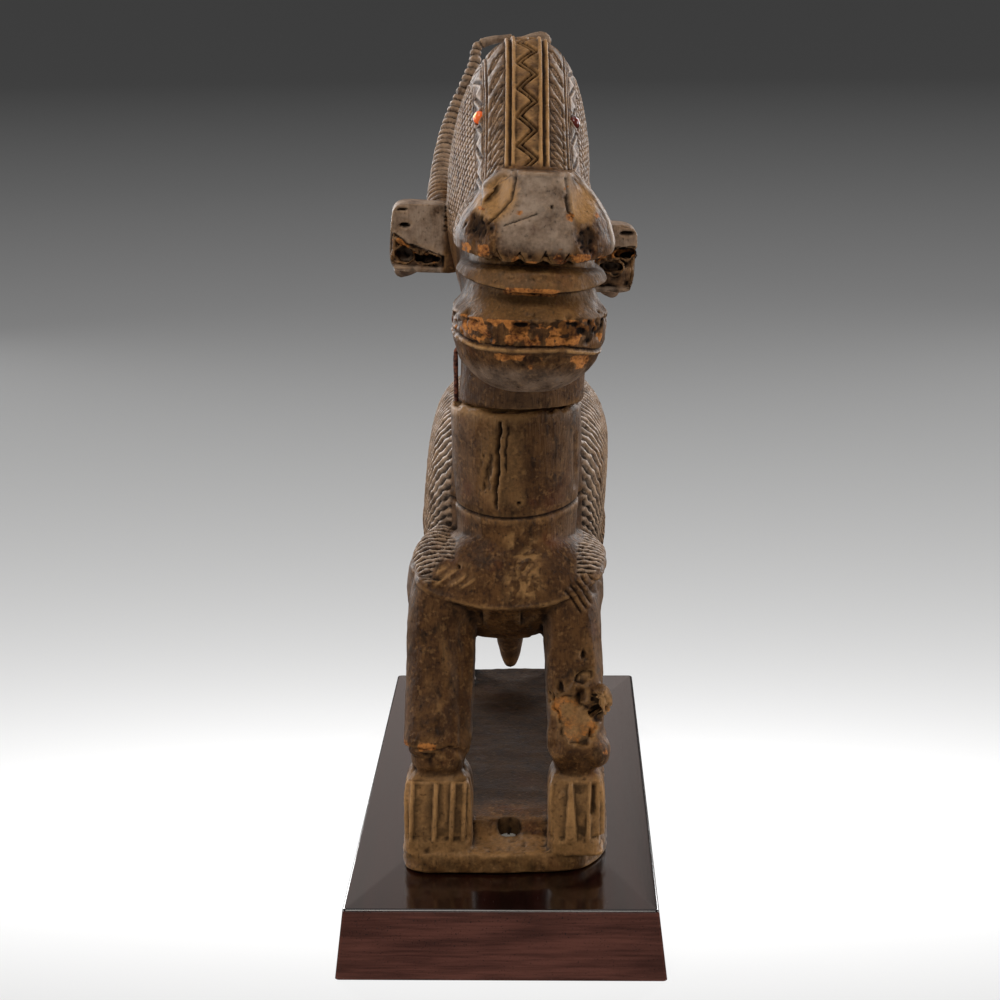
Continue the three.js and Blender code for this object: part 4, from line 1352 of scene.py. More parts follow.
    def layer(self, stations: Stations, rows: int, square: float = 2.5,
              low: Callable[[Array], Array] | None = None,
              tilt: float = 0.0) -> Shell:
        """Plan ovals one over another, drawn out to the front.

        Args:
            stations: height, half width and reach to the front.
            rows: how many ovals.
            square: the ovals' squareness.
            low: lower edge over x, below which the ovals are drawn up.
            tilt: rise of the whole layer for each millimetre of x.

        Returns:
            The layer's closed skin.
        """
        z = np.linspace(stations[0][0], stations[-1][0], rows)
        half, front = track(stations, z).T
        middle, back = -0.42 * self.muzzle, 12
        outline = oval(200, square)
        reach = np.where(outline[:, 1] < 0, upright(front + middle), back - middle)
        rings = ovals(outline, (self.lip_shift, middle), (half, reach), z)
        rings[..., 2] += tilt * rings[..., 0]
        if low is not None:
            edge = low(rings[..., 0]) + 0.12 * upright(np.arange(rows))
            rings[..., 2] = np.maximum(rings[..., 2], edge)
        return loft(rings)

    def tooth_edge(self, x: Array) -> Array:
        """Height of the upper lip's lower edge: sharp notches between blunt teeth."""
        return np.interp(x, *np.array(self.teeth).T)

    def muzzle_layers(self) -> list[Shell]:
        """Toothed upper lip, tongue, bevelled jaw and the throat that carries them."""
        wide, far = self.lip_half, self.muzzle
        upper = self.layer((
            (2.5, wide - 0.6, far - 0.8), (7, wide - 0.1, far - 0.1), (11, wide, far),
            (19, wide - 2.5, far - 2), (27, wide - 7.5, far - 5), (32, wide - 12, far - 7),
            (37, wide - 16.5, far - 9.0), (38, wide - 18.5, far - 10.0),
        ), 60, 2.7, self.tooth_edge)
        tongue = self.layer((
            (-9.6, wide - 6.5, far - 8.5), (-8.6, wide - 2.4, far - 2.6), (-7.6, wide - 1.8, far - 1.9),
            (-4, wide - 2.6, far - 3.2), (-1, wide - 3.6, far - 4.6), (0.8, wide - 6, far - 8)), 40)
        x = (tongue.points[:, 0] - self.lip_shift) / (wide + 0.5)
        tongue.points[:, 2] = -3.0 + (tongue.points[:, 2] + 3.0) * np.sqrt(np.maximum(1 - x**2, 0.12))
        jaw = self.layer((
            (-53, 5, 0.55 * far), (-50.5, 14.5, 0.74 * far), (-46, 22, far - 10), (-40, 27.5, far - 5),
            (-33.4, wide - 2.2, far - 2.0), (-30, wide - 1.0, far - 0.9), (-24, wide - 0.5, far - 0.2),
            (-19.6, wide - 0.4, far), (-18.6, wide - 1.2, far - 0.9), (-16, wide - 3.6, far - 4.6),
            (-13, wide - 5.2, far - 8), (-9, wide - 6.5, far - 10.5)), 70, 2.5, None, 0.03)
        throat = self.layer(((-20, wide - 7, far - 11), (12, wide - 7, far - 11)), 12)
        return [upper, tongue, jaw, throat]

    def ear(self, side: int) -> Shell:
        """A squared tube that narrows to a drooping tip, with ragged hollows under its front plate."""
        drop = self.ear_drop[side > 0]
        inner, outer = 0.72 * self.half_width, self.half_width + self.ear_reach
        y = np.linspace(self.ear_y, self.ear_y + self.ear_depth, 30)
        share = (y - self.ear_y) / self.ear_depth
        tall, back = track(((0, 0.96, 0), (0.4, 1, 0.5), (0.75, 0.8, 3), (1, 0.45, 8)), share).T
        outline = oval(96, 6)
        half = (outer - back - inner) / 2
        middle = (side * (inner + half), -drop - (1 - tall) * 7)
        shell = loft(ovals(outline, middle, (side * half, self.ear_high / 2 * tall), y)[..., [0, 2, 1]])
        hollows = []
        for across, down, wide, high, deep in self.ear_hollows[side > 0]:
            centre = (side * (outer - across), self.ear_y, self.ear_high / 2 - drop - down)
            tool = ball(centre, (wide, deep, high), 30)
            tool.points += tool.normals() * 0.9 * noise(tool.points, 2.6, down)[:, None]
            hollows.append(tool)
        return cut(shell, *hollows)

    def ear_tip(self, side: int) -> Shell:
        """The drooping end behind the ear: a round bar that tapers down and back."""
        outer, low = self.half_width + self.ear_reach, -self.ear_drop[side > 0] - self.ear_high / 2
        path = spline((
            (side * (outer - 14), 58, low + 8), (side * (outer - 9), 66, low + 1),
            (side * (outer - 5.5), 74, low - 3.4)), 30)
        return sweep(path, np.linspace(7.5, 3.2, 30), 24)

    def horn_path(self, side: int) -> Array:
        """The line of one horn: low behind the ear, back, up and hooked inwards at its tip."""
        out, high, reach, rise = self.horn_bends[side > 0]
        return spline((
            (side * 18, 44, -4), (side * 30.2, 62, 8), (side * 31, 88, 24), (side * 27, 110, 46),
            (side * (out + 2), 119, high - 9), (side * out, 122, high),
            (side * (out - reach), 122, high + rise)), 400)

    def horn(self, side: int) -> Shell:
        """A round bar along the horn's line, tapering to a blunt point."""
        path = self.horn_path(side)
        share = np.linspace(0, 1, len(path))
        radii = track(self.horn_radii, share)
        return sweep(path[::4], radii[::4], 32, (0, 1, 0))

    def stub(self) -> Shell:
        """The round tenon that stands on the neck, cut off level at the seat."""
        turn = self.turn()
        foot = (np.array((*self.seat_at, self.seat)) - self.pivot) @ turn
        levels = (foot[2] - 8, foot[2] + 30)
        column = turned((self.stub_radius,) * 2, (self.stub_x, 0), levels, 120)
        x, y, _ = self.pivot
        below = box_shell((x - 120, y - 120, self.seat - 60), (x + 120, y + 120, self.seat))
        below.points = (below.points - self.pivot) @ turn
        return cut(column, below)

    def chord(self, p: Array) -> Array:
        """Distance across the skull from the middle of the forehead, positive to the right."""
        x, y, z = p.T
        middle = self.band_x + self.band_slope * y
        span = np.hypot(x - middle, np.minimum(z - self.top(y), 0)) * np.sign(x - middle)
        return np.where(span > 8.3, 8.3 + (span - 8.3) / 0.8, span)

    def forehead(self, p: Array) -> Array:
        """1 where the carved bands cover the skull, behind the snout's rim."""
        x, y, z = p.T
        rim = -48.5 + 0.012 * (x - 1) ** 2
        skull = ramp(y, rim, rim + 1.5) * (1 - ramp(y, 60, 64))
        return skull * (np.abs(x) <= 31.5) * ramp(z, 2, 6)

    def relief(self, p: Array, n: Array) -> Array:
        """Carved depth along the normals, in millimetres, at points of the head's frame."""
        depth = self._bands(p) * self.forehead(p) + self._horn_rings(p) + self._eye_sockets(p)
        depth += self._snout(p, n) + self._jaw(p, n) + self._ears(p, n)
        return depth + 0.10 * noise(p, 2.6, 55) + 0.14 * noise(p, 7.0, 56)

    def _bands(self, p: Array) -> Array:
        """Zigzag, ridges, leaf ovals, sawteeth and net, by distance from the forehead's middle."""
        _, y, z = p.T
        c = self.chord(p)
        a = np.abs(c)
        ribbon = self.ribbon(p)
        depth = -1.1 * strip(np.abs(ribbon) - 0.85, 0.26, 0.36) - 0.4 * strip(ribbon, 0.8, 0.3)
        depth *= a < 4.9
        for at, half in self.ridges:
            depth += 0.85 * strip(a - at, half, 0.5)
        depth -= 0.55 * strip(a - 7.0, 0.4, 0.6) + 0.4 * strip(a - 9.5, 0.3, 0.5)
        depth += self._leaves(y, c) * strip(a - 14, 4.4, 0.5)
        for at in (19.4, 21.6):
            depth -= 0.6 * strip(a - at, 0.25, 0.5)
        reach = 23.3 + 6.2 * ((y + 2) / 12.6 % 1)
        depth -= 0.9 * strip((a - reach) * 0.8, 0.3, 0.7) * strip(a - 26.5, 3.3, 0.4)
        depth -= 0.64 * ramp(a, reach + 1.0, reach + 2.4) * strip(a - 26.5, 3.1, 0.5)
        depth -= 0.6 * strip(a - 30.6, 0.3, 0.5) + 0.5 * strip(a - 23, 0.2, 0.4)
        net = ramp(a, 31.2, 32.0)
        for direction in (1, -1):
            cell = z / 4.3 + direction * y / 5.2 + 0.08 * noise(p, 6, 57)
            groove = np.abs(cell % 1 - 0.5)
            depth -= 0.9 * net * (1 - ramp(groove, 0.06, 0.2))
        return depth

    def ribbon(self, p: Array) -> Array:
        """Distance from the zigzag's middle line, which is a triangle wave along the head."""
        phase = (p[:, 1] + 9.6) / 13.8
        wave = 3.3 * (4 * np.abs(phase - np.floor(phase + 0.5)) - 1) + 0.3 * noise(p, 7, 54)
        return (self.chord(p) - wave) * 0.66

    def _leaves(self, y: Array, c: Array) -> Array:
        """Tilted ovals in a row, closer together and narrower towards the muzzle."""
        stations = ((-60, -3), (-50, 0), (-40, 2.7), (-30, 5.0), (-20, 6.8), (-10, 8.2), (0, 9.35),
                    (10, 10.3), (20, 11.1), (30, 11.9), (60, 14.3))
        index = track(stations, y)
        pitch = 2 / (track(stations, y + 1) - track(stations, y - 1))
        across = (np.abs(c) - 14) / 4.2
        slant = index + np.clip(1.9 / pitch + 0.12, 0.2, 0.5) * across
        v = 2 * (slant % 1) - 1
        radius = np.hypot(across, v * np.maximum(pitch / 5.2, 1.1))
        outline = strip(radius - 0.84, 0.08, 0.2)
        heart = strip(radius - 0.35, 0.06, 0.18) * ramp(pitch, 5.0, 7.0)
        return -0.85 * outline - 0.6 * heart

    def beyond_snout(self, x: Array, z: Array) -> Array:
        """How far a point lies beyond the side edge of the snout's face, below zero within it."""
        return np.abs(x - self.lip_shift + 1.2) - np.interp(z, *np.array(self.face_half).T)

    def panel(self, p: Array, n: Array) -> Array:
        """1 on the snout's front face, over the teeth and within the rim."""
        x, y, z = p.T
        inside = 1 - ramp(self.beyond_snout(x, z), -2.6, -0.8)
        return inside * between(z, 1, 3, 36.2, 37.6) * ramp(-n[:, 1], 0.15, 0.4) * (y < -40)

    def snout_rim(self, p: Array) -> Array:
        """1 along the edge of the snout's face, over its sides and its top."""
        x, y, z = p.T
        outside = np.maximum(self.beyond_snout(x, z), z - 37.4 - 0.012 * x)
        return strip(outside + 0.7, 0.45, 0.75) * ramp(z, 4, 9) * (y < -44) * (y > -66)

    def nostrils(self, p: Array) -> Array:
        """1 in the two eaten hollows at the sides of the snout."""
        x, y, z = p.T
        ragged = 0.22 * noise(p, 3.4, 61) + 0.16 * noise(p, 1.5, 62)
        return most(*(ramp(within(x, z, *spot) + ragged, 0, 0.7) for spot in self.nostril_spots)) * (y < -38)

    def _snout(self, p: Array, n: Array) -> Array:
        """The rim's raised lip, scooped cheeks, creases, notch, cracks and nostril hollows."""
        x, y, z = p.T
        panel = self.panel(p, n)
        depth = -1.9 * sum(ramp(within(x, z, *cheek), 0, 0.8) for cheek in self.cheeks)
        for deep, half, soft, start, heights, places in self.creases:
            depth -= deep * strip(x - np.interp(z, heights, places), half, soft) * ramp(z, *start)
        notch = np.interp(z, (22, 29.6), (13.4, 11.6))
        depth -= 1.8 * strip(x - notch, 0.7, 0.8) * between(z, 22, 24, 28.5, 30.5)
        slope = z - 17 - (x + 11.9) * 0.398
        depth -= 0.6 * strip(slope, 0.12, 0.4) * strip(x + 6, 6, 1)
        depth -= 1.2 * self.pit(x, z, self.snout_pit, 0.4)
        depth += 0.35 * strip(x - 0.5, 13, 5) * ramp(z, 6, 12) * noise(p, 6, 63)
        chew = ramp(z, 12.5, 4) * (0.2 + 0.7 * ramp(noise(p, 2.3, 64), -0.1, 0.5))
        depth -= chew * strip(x - 1, 27, 3)
        depth = depth * panel
        depth -= 1.7 * self.nostrils(p) * panel * (0.8 + 0.5 * noise(p, 2.2, 65))
        for at in self.tooth_notches:
            inside = (8.0 - z) * 0.52 - np.abs(x - at) + 0.3 * noise(p, 1.8, 66)
            depth -= 1.5 * ramp(inside, 0, 0.7) * (z > 1) * panel
        behind = ramp(z, 30, 36) * strip(y + 50.5, 1.0, 1.4) * (n[:, 2] > 0.3)
        return depth - 0.9 * behind + 0.6 * self.snout_rim(p)

    def jaw_line(self, x: Array) -> Array:
        """Height of the line cut round the jaw."""
        places = (-32, -29, -20.6, -6, 13.6, 22, 30, 34)
        return np.interp(x, places, (-28.0, -28.7, -30.7, -30.5, -29.7, -30.8, -32.8, -33.0))

    def _jaw(self, p: Array, n: Array) -> Array:
        """The worn wedge under the tongue, the ragged jaw edge and the line round the jaw."""
        x, y, z = p.T
        front = ramp(-n[:, 1], 0.1, 0.5) * (y < -20)
        wedge = strip(x, 8, 4) * strip(z + 9.0, 1.2, 1.0)
        depth = 0.8 * wedge * front * ramp(noise(p, 3, 71), -0.6, 0.2)
        level = z - 0.035 * x
        edge = between(level, -23.5, -20.5, -18.4, -16.5) * (y < -10)
        depth -= edge * (0.25 + 1.1 * ramp(noise(p, 3.4, 72), 0.05, 0.5))
        face = between(level, -31, -29, -21, -19.5) * (y < -5)
        depth -= face * (0.3 + 0.9 * ramp(noise(p * (0.55, 1, 1.2), 2.6, 73), -0.05, 0.45))
        line = self.jaw_line(x)
        depth += (0.45 * strip(z - line + 1.3, 0.4, 0.6) - 0.9 * strip(z - line, 0.3, 0.6)) * (y < 8)
        low = strip(x - 6, 17, 4) * between(z, -41, -38, -34.5, -32.5) * front
        depth -= 0.8 * low * ramp(noise(p * (0.6, 1, 1), 2.8, 74), -0.1, 0.4)
        ring = between(z, -8, -6.5, -1.5, 0) * (y < 0)
        depth += 0.25 * ring * noise(p * (0.35, 1, 2), 4, 75)
        return depth

    def ear_place(self, p: Array, side: int) -> tuple[Array, ...]:
        """Where points lie on one ear.

        Args:
            p: points of the head's frame.
            side: -1 for the left ear, 1 for the right one.

        Returns:
            Distance in from its outer edge, distance down from its top, distance below the ragged
            end of its smooth upper plate, and 1 on its front.
        """
        x, y, z = p.T
        inwards = self.half_width + self.ear_reach - side * x
        down = self.ear_high / 2 - self.ear_drop[side > 0] - z
        plate = np.interp(inwards, *np.array(self.ear_plate[side > 0]).T)
        below = down - plate + 0.5 * noise(p, 3, 77)
        here = (inwards < self.ear_reach) * (y < self.ear_y + 5) * (y > self.ear_y - 4)
        return inwards, down, below, here

    def _ears(self, p: Array, n: Array) -> Array:
        """Two oval notches near each ear's edge, and broken wood below the smooth plate."""
        depth = np.zeros(len(p))
        for side in (-1, 1):
            inwards, down, below, here = self.ear_place(p, side)
            front = here * ramp(-n[:, 1], 0.2, 0.6)
            for u, w, long, high, lean in self.ear_notches[side > 0]:
                gap = np.hypot((inwards - u) / long, (down - w - lean * (inwards - u)) / high)
                depth -= 1.9 * (1 - ramp(gap, 0.55, 1.05)) * front
            depth -= ramp(below, 0, 0.9) * front * (1.5 + 0.9 * noise(p, 2.8, 78))
            depth += 1.3 * strip(below - 2.6, 0.5, 1.0) * strip(inwards - 4, 3.5, 3) * front
            depth += 1.2 * ramp(down, 27.5, 29) * front
            edge = here * (1 - ramp(inwards, 0.5, 2.5)) * ramp(below, 0, 1.5)
            depth -= edge * (1.0 + 0.9 * noise(p, 3.3, 79))
        return depth

    def _horn_rings(self, p: Array) -> Array:
        """Rings cut round the horns as a sine along each line, fading out before the tip."""
        depth = np.zeros(len(p))
        for side in (-1, 1):
            path = self.horn_path(side)[::2]
            near = np.flatnonzero((p[:, 0] * side > -4) & (p[:, 1] > 46))
            near = near[np.hypot(p[near, 0], p[near, 1] - 50) > 8]
            best = np.full(len(near), 1e9)
            place = np.zeros(len(near))
            step = np.linalg.norm(np.diff(path, axis=0), axis=1)
            length = np.concatenate([[0], np.cumsum(step)])
            for point, along in zip(path, length):
                gap = ((p[near] - point) ** 2).sum(1)
                closer = gap < best
                best[closer] = gap[closer]
                place[closer] = along
            share = place / length[-1]
            radius = track(self.horn_radii, share)
            on_horn = strip(np.sqrt(best) - radius, 1.0, 0.8) * between(share, 0.1, 0.14, 0.88, 0.91)
            wave = np.abs(np.sin(np.pi * place / self.ring_pitch))
            depth[near] -= 1.15 * (1 - wave) ** 1.5 * on_horn
        return depth

    def _eye_sockets(self, p: Array) -> Array:
        """A dimple under each bead, with a slightly raised edge."""
        depth = np.zeros(len(p))
        for x, y in self.eye_spots:
            gap = np.linalg.norm(p - (x, y, self.height(x, y)), axis=1)
            depth -= 1.6 * strip(gap, 2.6, 0.8)
            depth += 0.4 * strip(gap - 4.2, 0.3, 0.8)
        return depth

    def build(self) -> bpy.types.Object:
        """Carves the block in its own frame, turns it into place and levels it on its seat."""
        paired = [form(side) for form in (self.ear, self.ear_tip, self.horn) for side in (-1, 1)]
        whole = self.carved([*self.skull(), *self.muzzle_layers(), self.stub(), *paired], 3)
        whole.fields = self.wear(whole)
        whole = whole.moved(self.turn(), self.pivot)
        whole.points[:, 2] = np.maximum(whole.points[:, 2], self.seat)
        return self.dressed("carved_head", whole, "head")

    def wear(self, whole: Shell) -> dict[str, Array]:
        """Where the wood is worn, sooty, torn or hollow, and where painted shade, painted highlights and
        painted sheen lie, at the points of the head's frame.
        """
        p, n = whole.points, whole.normals()
        x, y, z = p.T
        stand = whole.swelling(3)
        panel = self.panel(p, n)
        bands = self.forehead(p)
        a = np.abs(self.chord(p))
        facing = ramp(-n[:, 1], 0.1, 0.5)
        level = z - 0.035 * x
        worn = np.zeros(len(p))
        for at, up, wide, high in self.worn_spots:
            worn = np.maximum(worn, 0.35 + within(x, z, (at, up), (wide, high)))
        worn = ramp(worn + 0.5 * noise(p, 2.6, 81) + 0.3 * noise(p, 1.2, 80), 0.2, 0.7) * panel
        jaw = between(level, -31, -28.5, -20, -18.5) * facing * (y < -15)
        mottle = 0.6 * noise(p * (0.7, 1, 1), 4, 82) + 0.6 * noise(p, 1.6, 88) + 0.35 * strip(x + 6, 16, 12)
        jaw_raw = jaw * ramp(mottle, 0.03, 0.33)
        wedge = strip(x, 9, 4) * strip(z + 9.0, 1.5, 1.0) * facing
        ear, ear_stain_and_shade, broken = np.zeros(len(p)), np.zeros(len(p)), np.zeros(len(p))
        for side in (-1, 1):
            inwards, down, below, here = self.ear_place(p, side)
            ear = np.maximum(ear, here * strip(below - 3, 1.3, 1.0) * ramp(noise(p, 3, 84), -0.4, 0.2))
            broken = np.maximum(broken, here * ramp(below, 0, 1) * (1 - ramp(down, 27.5, 28.5)))
            ear_stain_and_shade = np.maximum(ear_stain_and_shade, here * ramp(below, 0, 1) * ramp(noise(p, 3.5, 85), 0.1, -0.4))
            # Painted shade inside each ear, behind and below its front plate.
            ear_stain_and_shade = np.maximum(ear_stain_and_shade, (inwards < 24) * (down > 9) * ramp(y, 40.8, 43) * (y < 60) * 0.9)
        nostril = self.nostrils(p) * panel
        low = strip(x - 6, 18, 4) * between(z, -42, -38, -34, -32) * facing
        raw = most(
            worn * (1 - nostril), jaw_raw, wedge, 0.8 * ear, 0.8 * low * ramp(noise(p, 4, 83), -0.2, 0.4))
        ragged = 0.55 * noise(p, 2.6, 86) + 0.3 * noise(p, 1.3, 87)
        patches = ramp(most(*(within(x, z, *spot) for spot in self.sooty_jaw)) + ragged, 0, 0.3)
        # Dark stains in the nostrils, on the jaw and on the broken ears and a dark zigzag down the forehead,
        # with painted shade on the stub under the jaw, on the sides of the tongue and bevel and on faces that
        # look down.
        soot = most(
            nostril, patches * facing * (z < -17), 0.6 * ear_stain_and_shade,
            0.3 * (np.hypot(x - self.stub_x + 0.3, y) < 28) * (z < -47),
            0.5 * bands * strip(self.ribbon(p), 0.7, 0.4) * (a < 4.9),
            0.5 * ramp(np.abs(x), 15, 25) * between(z, -21, -19, 1, 3) * (y < 8),
            ramp(-n[:, 2], 0.55, 0.95) * (z < 10) * (z > -12))
        ridges = sum(strip(a - at, 0.5, 0.4) for at, _ in self.ridges)
        # Painted light: the band over the tongue and bevel is paler where it faces the front, and the ridge
        # under the jaw line carries a painted highlight.
        jaw_rim = strip(z - self.jaw_line(x) + 1.3, 0.5, 0.7) * facing * (y < -10)
        tan = most(
            1.3 * bands * ridges, 0.75 * bands * strip(a, 4.6, 0.5) * ramp(noise(p, 4, 90), -0.8, 0.2),
            0.3 * (y < -20) * ramp(-n[:, 1], 0, 0.5) * strip(z + 8, 10, 3),
            0.9 * jaw_rim * ramp(noise(p, 4, 89), -0.5, 0.2),
            1.5 * ramp(within(x, z, (-17.0, 28.0), (11.0, 11.5)), 0, 0.4) * panel,
            1.0 * ramp(within(x, z, (19.2, 26), (7.8, 10)), 0, 0.5) * panel)
        # Partly a real grey film and partly painted highlights and sheen: the pale ear fronts, the snout's
        # middle and rim, the forehead's side crests and the dome under the jaw.
        ears = ramp(np.abs(x), 30.5, 32) * ramp(y, 36, 38) * (1 - 0.75 * ramp(y, 43, 56))
        film = most(
            1.1 * ears * (y < 70) * (z < 22) * (1 - 0.85 * broken),
            1.4 * panel * strip(x - 0.5, 12, 4) * ramp(z, 5, 12),
            0.5 * bands * ramp(a, 18, 24) * ramp(stand, 0.0, 0.12), 0.3 * bands * strip(a - 14, 5, 1),
            0.42 * ramp(-37 - z, 0, 6) * ramp(-y, 18, 44), 1.1 * self.snout_rim(p), 0.75 * ramp(y, 68, 80))
        return {
            "edge": ramp(stand, 0.05, 0.26), "hollow": ramp(-stand, 0.04, 0.26),
            "raw": raw, "soot": soot, "tan": tan, "film": film,
        }


# Plinth, eyes, staple and screw


@dataclass
class PlinthBlock:
    """A mahogany block with softened edges, a little wider at its foot."""

    half_width: float = 65
    half_depth: float = 151
    height: float = 30
    flare: float = 3.6
    edge: float = 1.1
    corner_radius: float = 1.4
    foot: float = 0.4

    def build(self) -> bpy.types.Object:
        """Rings of a rounded rectangle: its straight runs and quarter turns, one over another."""
        angle = np.linspace(0, np.pi / 2, 9)
        corner = np.stack([np.cos(angle), np.sin(angle)], axis=1)
        turns = np.concatenate([
            corner @ np.array([[math.cos(t), math.sin(t)], [-math.sin(t), math.cos(t)]])
            for t in np.arange(4) * np.pi / 2
        ])
        signs = np.repeat(np.array([[1, 1], [-1, 1], [-1, -1], [1, -1]]), 9, axis=0)
        rings = []

        def ring(z: float, shrink: float) -> None:
            """Adds one rounded rectangle at a height, drawn in by shrink."""
            grow = self.flare * (1 - z / self.height)
            half = np.array([self.half_width + grow, self.half_depth + grow])
            flat = signs * (half - self.corner_radius - shrink) + turns * self.corner_radius
            rings.append(np.column_stack([flat, np.full(len(flat), z)]))

        ring(0.0, self.foot)
        ring(self.foot, 0.0)
        for z in np.linspace(3, self.height - self.edge - 1, 8):
            ring(z, 0.0)
        for turn in np.linspace(0, np.pi / 2, 8):
            ring(self.height - self.edge * (1 - math.sin(turn)), self.edge * (1 - math.cos(turn)))
        finish = PolishedMahogany().make()
        return place_piece("plinth_block", loft(np.stack(rings)), finish, "polished_mahogany", "plinth")


@dataclass
class EyeBead:
    """A domed seed in its socket."""

    name: str
    node: str
    spot: tuple
    tint: BeadTint
    radius: float = 2.6
    dome: float = 1.9
    depth: float = 2.2

    def build(self, head: CarvedHead) -> bpy.types.Object:
        """A profile of a quarter ellipse over a short cylinder, turned about the skull's normal."""
        x, y = self.spot
        step = 0.5
        here = np.array((x, y, head.height(x, y)))
        ahead = np.array((x, y + step, head.height(x, y + step))) - here
        across = np.array((x + step, y, head.height(x + step, y))) - here
        normal = np.cross(across, ahead)
        normal /= np.linalg.norm(normal)
        side = across / np.linalg.norm(across)
        up = np.cross(normal, side)
        angle = np.linspace(0, np.pi / 2 - 0.05, 12)
        profile = [(self.radius * 0.9, -self.depth), (self.radius, -self.depth * 0.85), (self.radius, -0.3)]
        profile += [(self.radius * math.cos(t), self.dome * math.sin(t)) for t in angle]
        circle = oval(36, 2)
        rings = np.stack([
            here + r * (circle[:, :1] * side + circle[:, 1:] * up) + h * normal for r, h in profile
        ])
        shell = loft(rings)
        reach = np.linalg.norm(shell.points - here - self.dome * normal, axis=1)
        shell.fields = {"face": 1 - reach / self.radius}
        shell = shell.moved(head.turn(), head.pivot)
        return place_piece(self.name, shell, GlossBead(self.tint).make(), "eye_bead", self.node)


@dataclass
class StapleWire:
    """Bent iron wire that pins the head to the neck."""

    radius: float = 1.0
    rise: float = 21
    leg: float = 7
    bend: float = 2.2

    def build(self) -> bpy.types.Object:
        """A round bar along a bent line, its radius uneven with rust."""
        low, high = (np.array(corner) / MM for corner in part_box("neck_staple"))
        x, y = low[0] + self.radius, (low[1] + high[1]) / 2
        bottom, top = low[2], high[2] - self.radius
        path = spline((
            (high[0], y, top), (x + self.bend, y, top), (x + 0.5, y, top - 0.7), (x, y, top - 2.6),
            (x, y, (top + bottom) / 2), (x, y, bottom)), 60)
        radii = self.radius * (1 + 0.12 * noise(path, 2.2, 91))
        bar = sweep(path, radii, 20, (0, 1, 0))
        return place_piece("neck_wire", bar, RustedIron().make(), "rusted_iron", "neck_staple")


@dataclass
class SlottedScrew:
    """Cheese-head screw with a rounded edge and a straight slot."""

    head_radius: float = 3.9
    head_height: float = 3.0
    shank_radius: float = 2.0
    slot_width: float = 1.2
    slot_depth: float = 1.0
    rounding: float = 0.9

    def build(self) -> bpy.types.Object:
        """A turned profile with a slot cut over its head."""
        low, high = (np.array(corner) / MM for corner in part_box("mounting_screw"))
        x, y = (low[:2] + high[:2]) / 2
        top = high[2]
        r, under, shank, edge = self.head_radius, top - self.head_height, self.shank_radius, self.rounding
        profile = [(0.4, low[2]), (shank * 0.8, low[2] + 0.5), (shank, low[2] + 2), (shank, under),
                   (r - 0.3, under), (r, under + 0.3), (r, top - edge)]
        turns = (0.4, 0.8, 1.2, 1.57)
        profile += [(r - edge * (1 - math.cos(t)), top - edge * (1 - math.sin(t))) for t in turns]
        radius, level = np.array(profile).T
        half = self.slot_width / 2
        slot = box_shell((x - half, y - 6, top - self.slot_depth), (x + half, y + 6, top + 2))
        shell = cut(turned(radius, (x, y), level, 48), slot)
        finish = BrightSteel().make()
        return place_piece("plinth_screw", shell, finish, "screw_steel", "mounting_screw", smooth=False)


# Camera, floor and light


@dataclass(frozen=True)
class Viewpoint:
    """The photograph's camera: place in millimetres, angles in degrees."""

    place: tuple = (23.4143, -908.8427, 385.5087)
    yaw: float = -1.6584
    pitch: float = -13.5392
    roll: float = -0.5362
    lens: float = 72

    def build(self) -> None:
        """Makes the camera and gives it to the scene."""
        yaw, pitch, roll = (math.radians(angle) for angle in (self.yaw, self.pitch, self.roll))
        ahead = Vector((math.sin(yaw) * math.cos(pitch), math.cos(yaw) * math.cos(pitch), math.sin(pitch)))
        level = Vector((math.cos(yaw), -math.sin(yaw), 0))
        raised = level.cross(ahead)
        right = math.cos(roll) * level + math.sin(roll) * raised
        up = -math.sin(roll) * level + math.cos(roll) * raised
        data = bpy.data.cameras.new("camera")
        data.lens = self.lens
        data.sensor_width = 36
        data.clip_end = 100
        camera = bpy.data.objects.new("camera", data)
        turn = Matrix((right, up, -ahead)).transposed()
        camera.matrix_world = Matrix.Translation(Vector(self.place) * MM) @ turn.to_4x4()
        bpy.context.scene.collection.objects.link(camera)
        bpy.context.scene.camera = camera


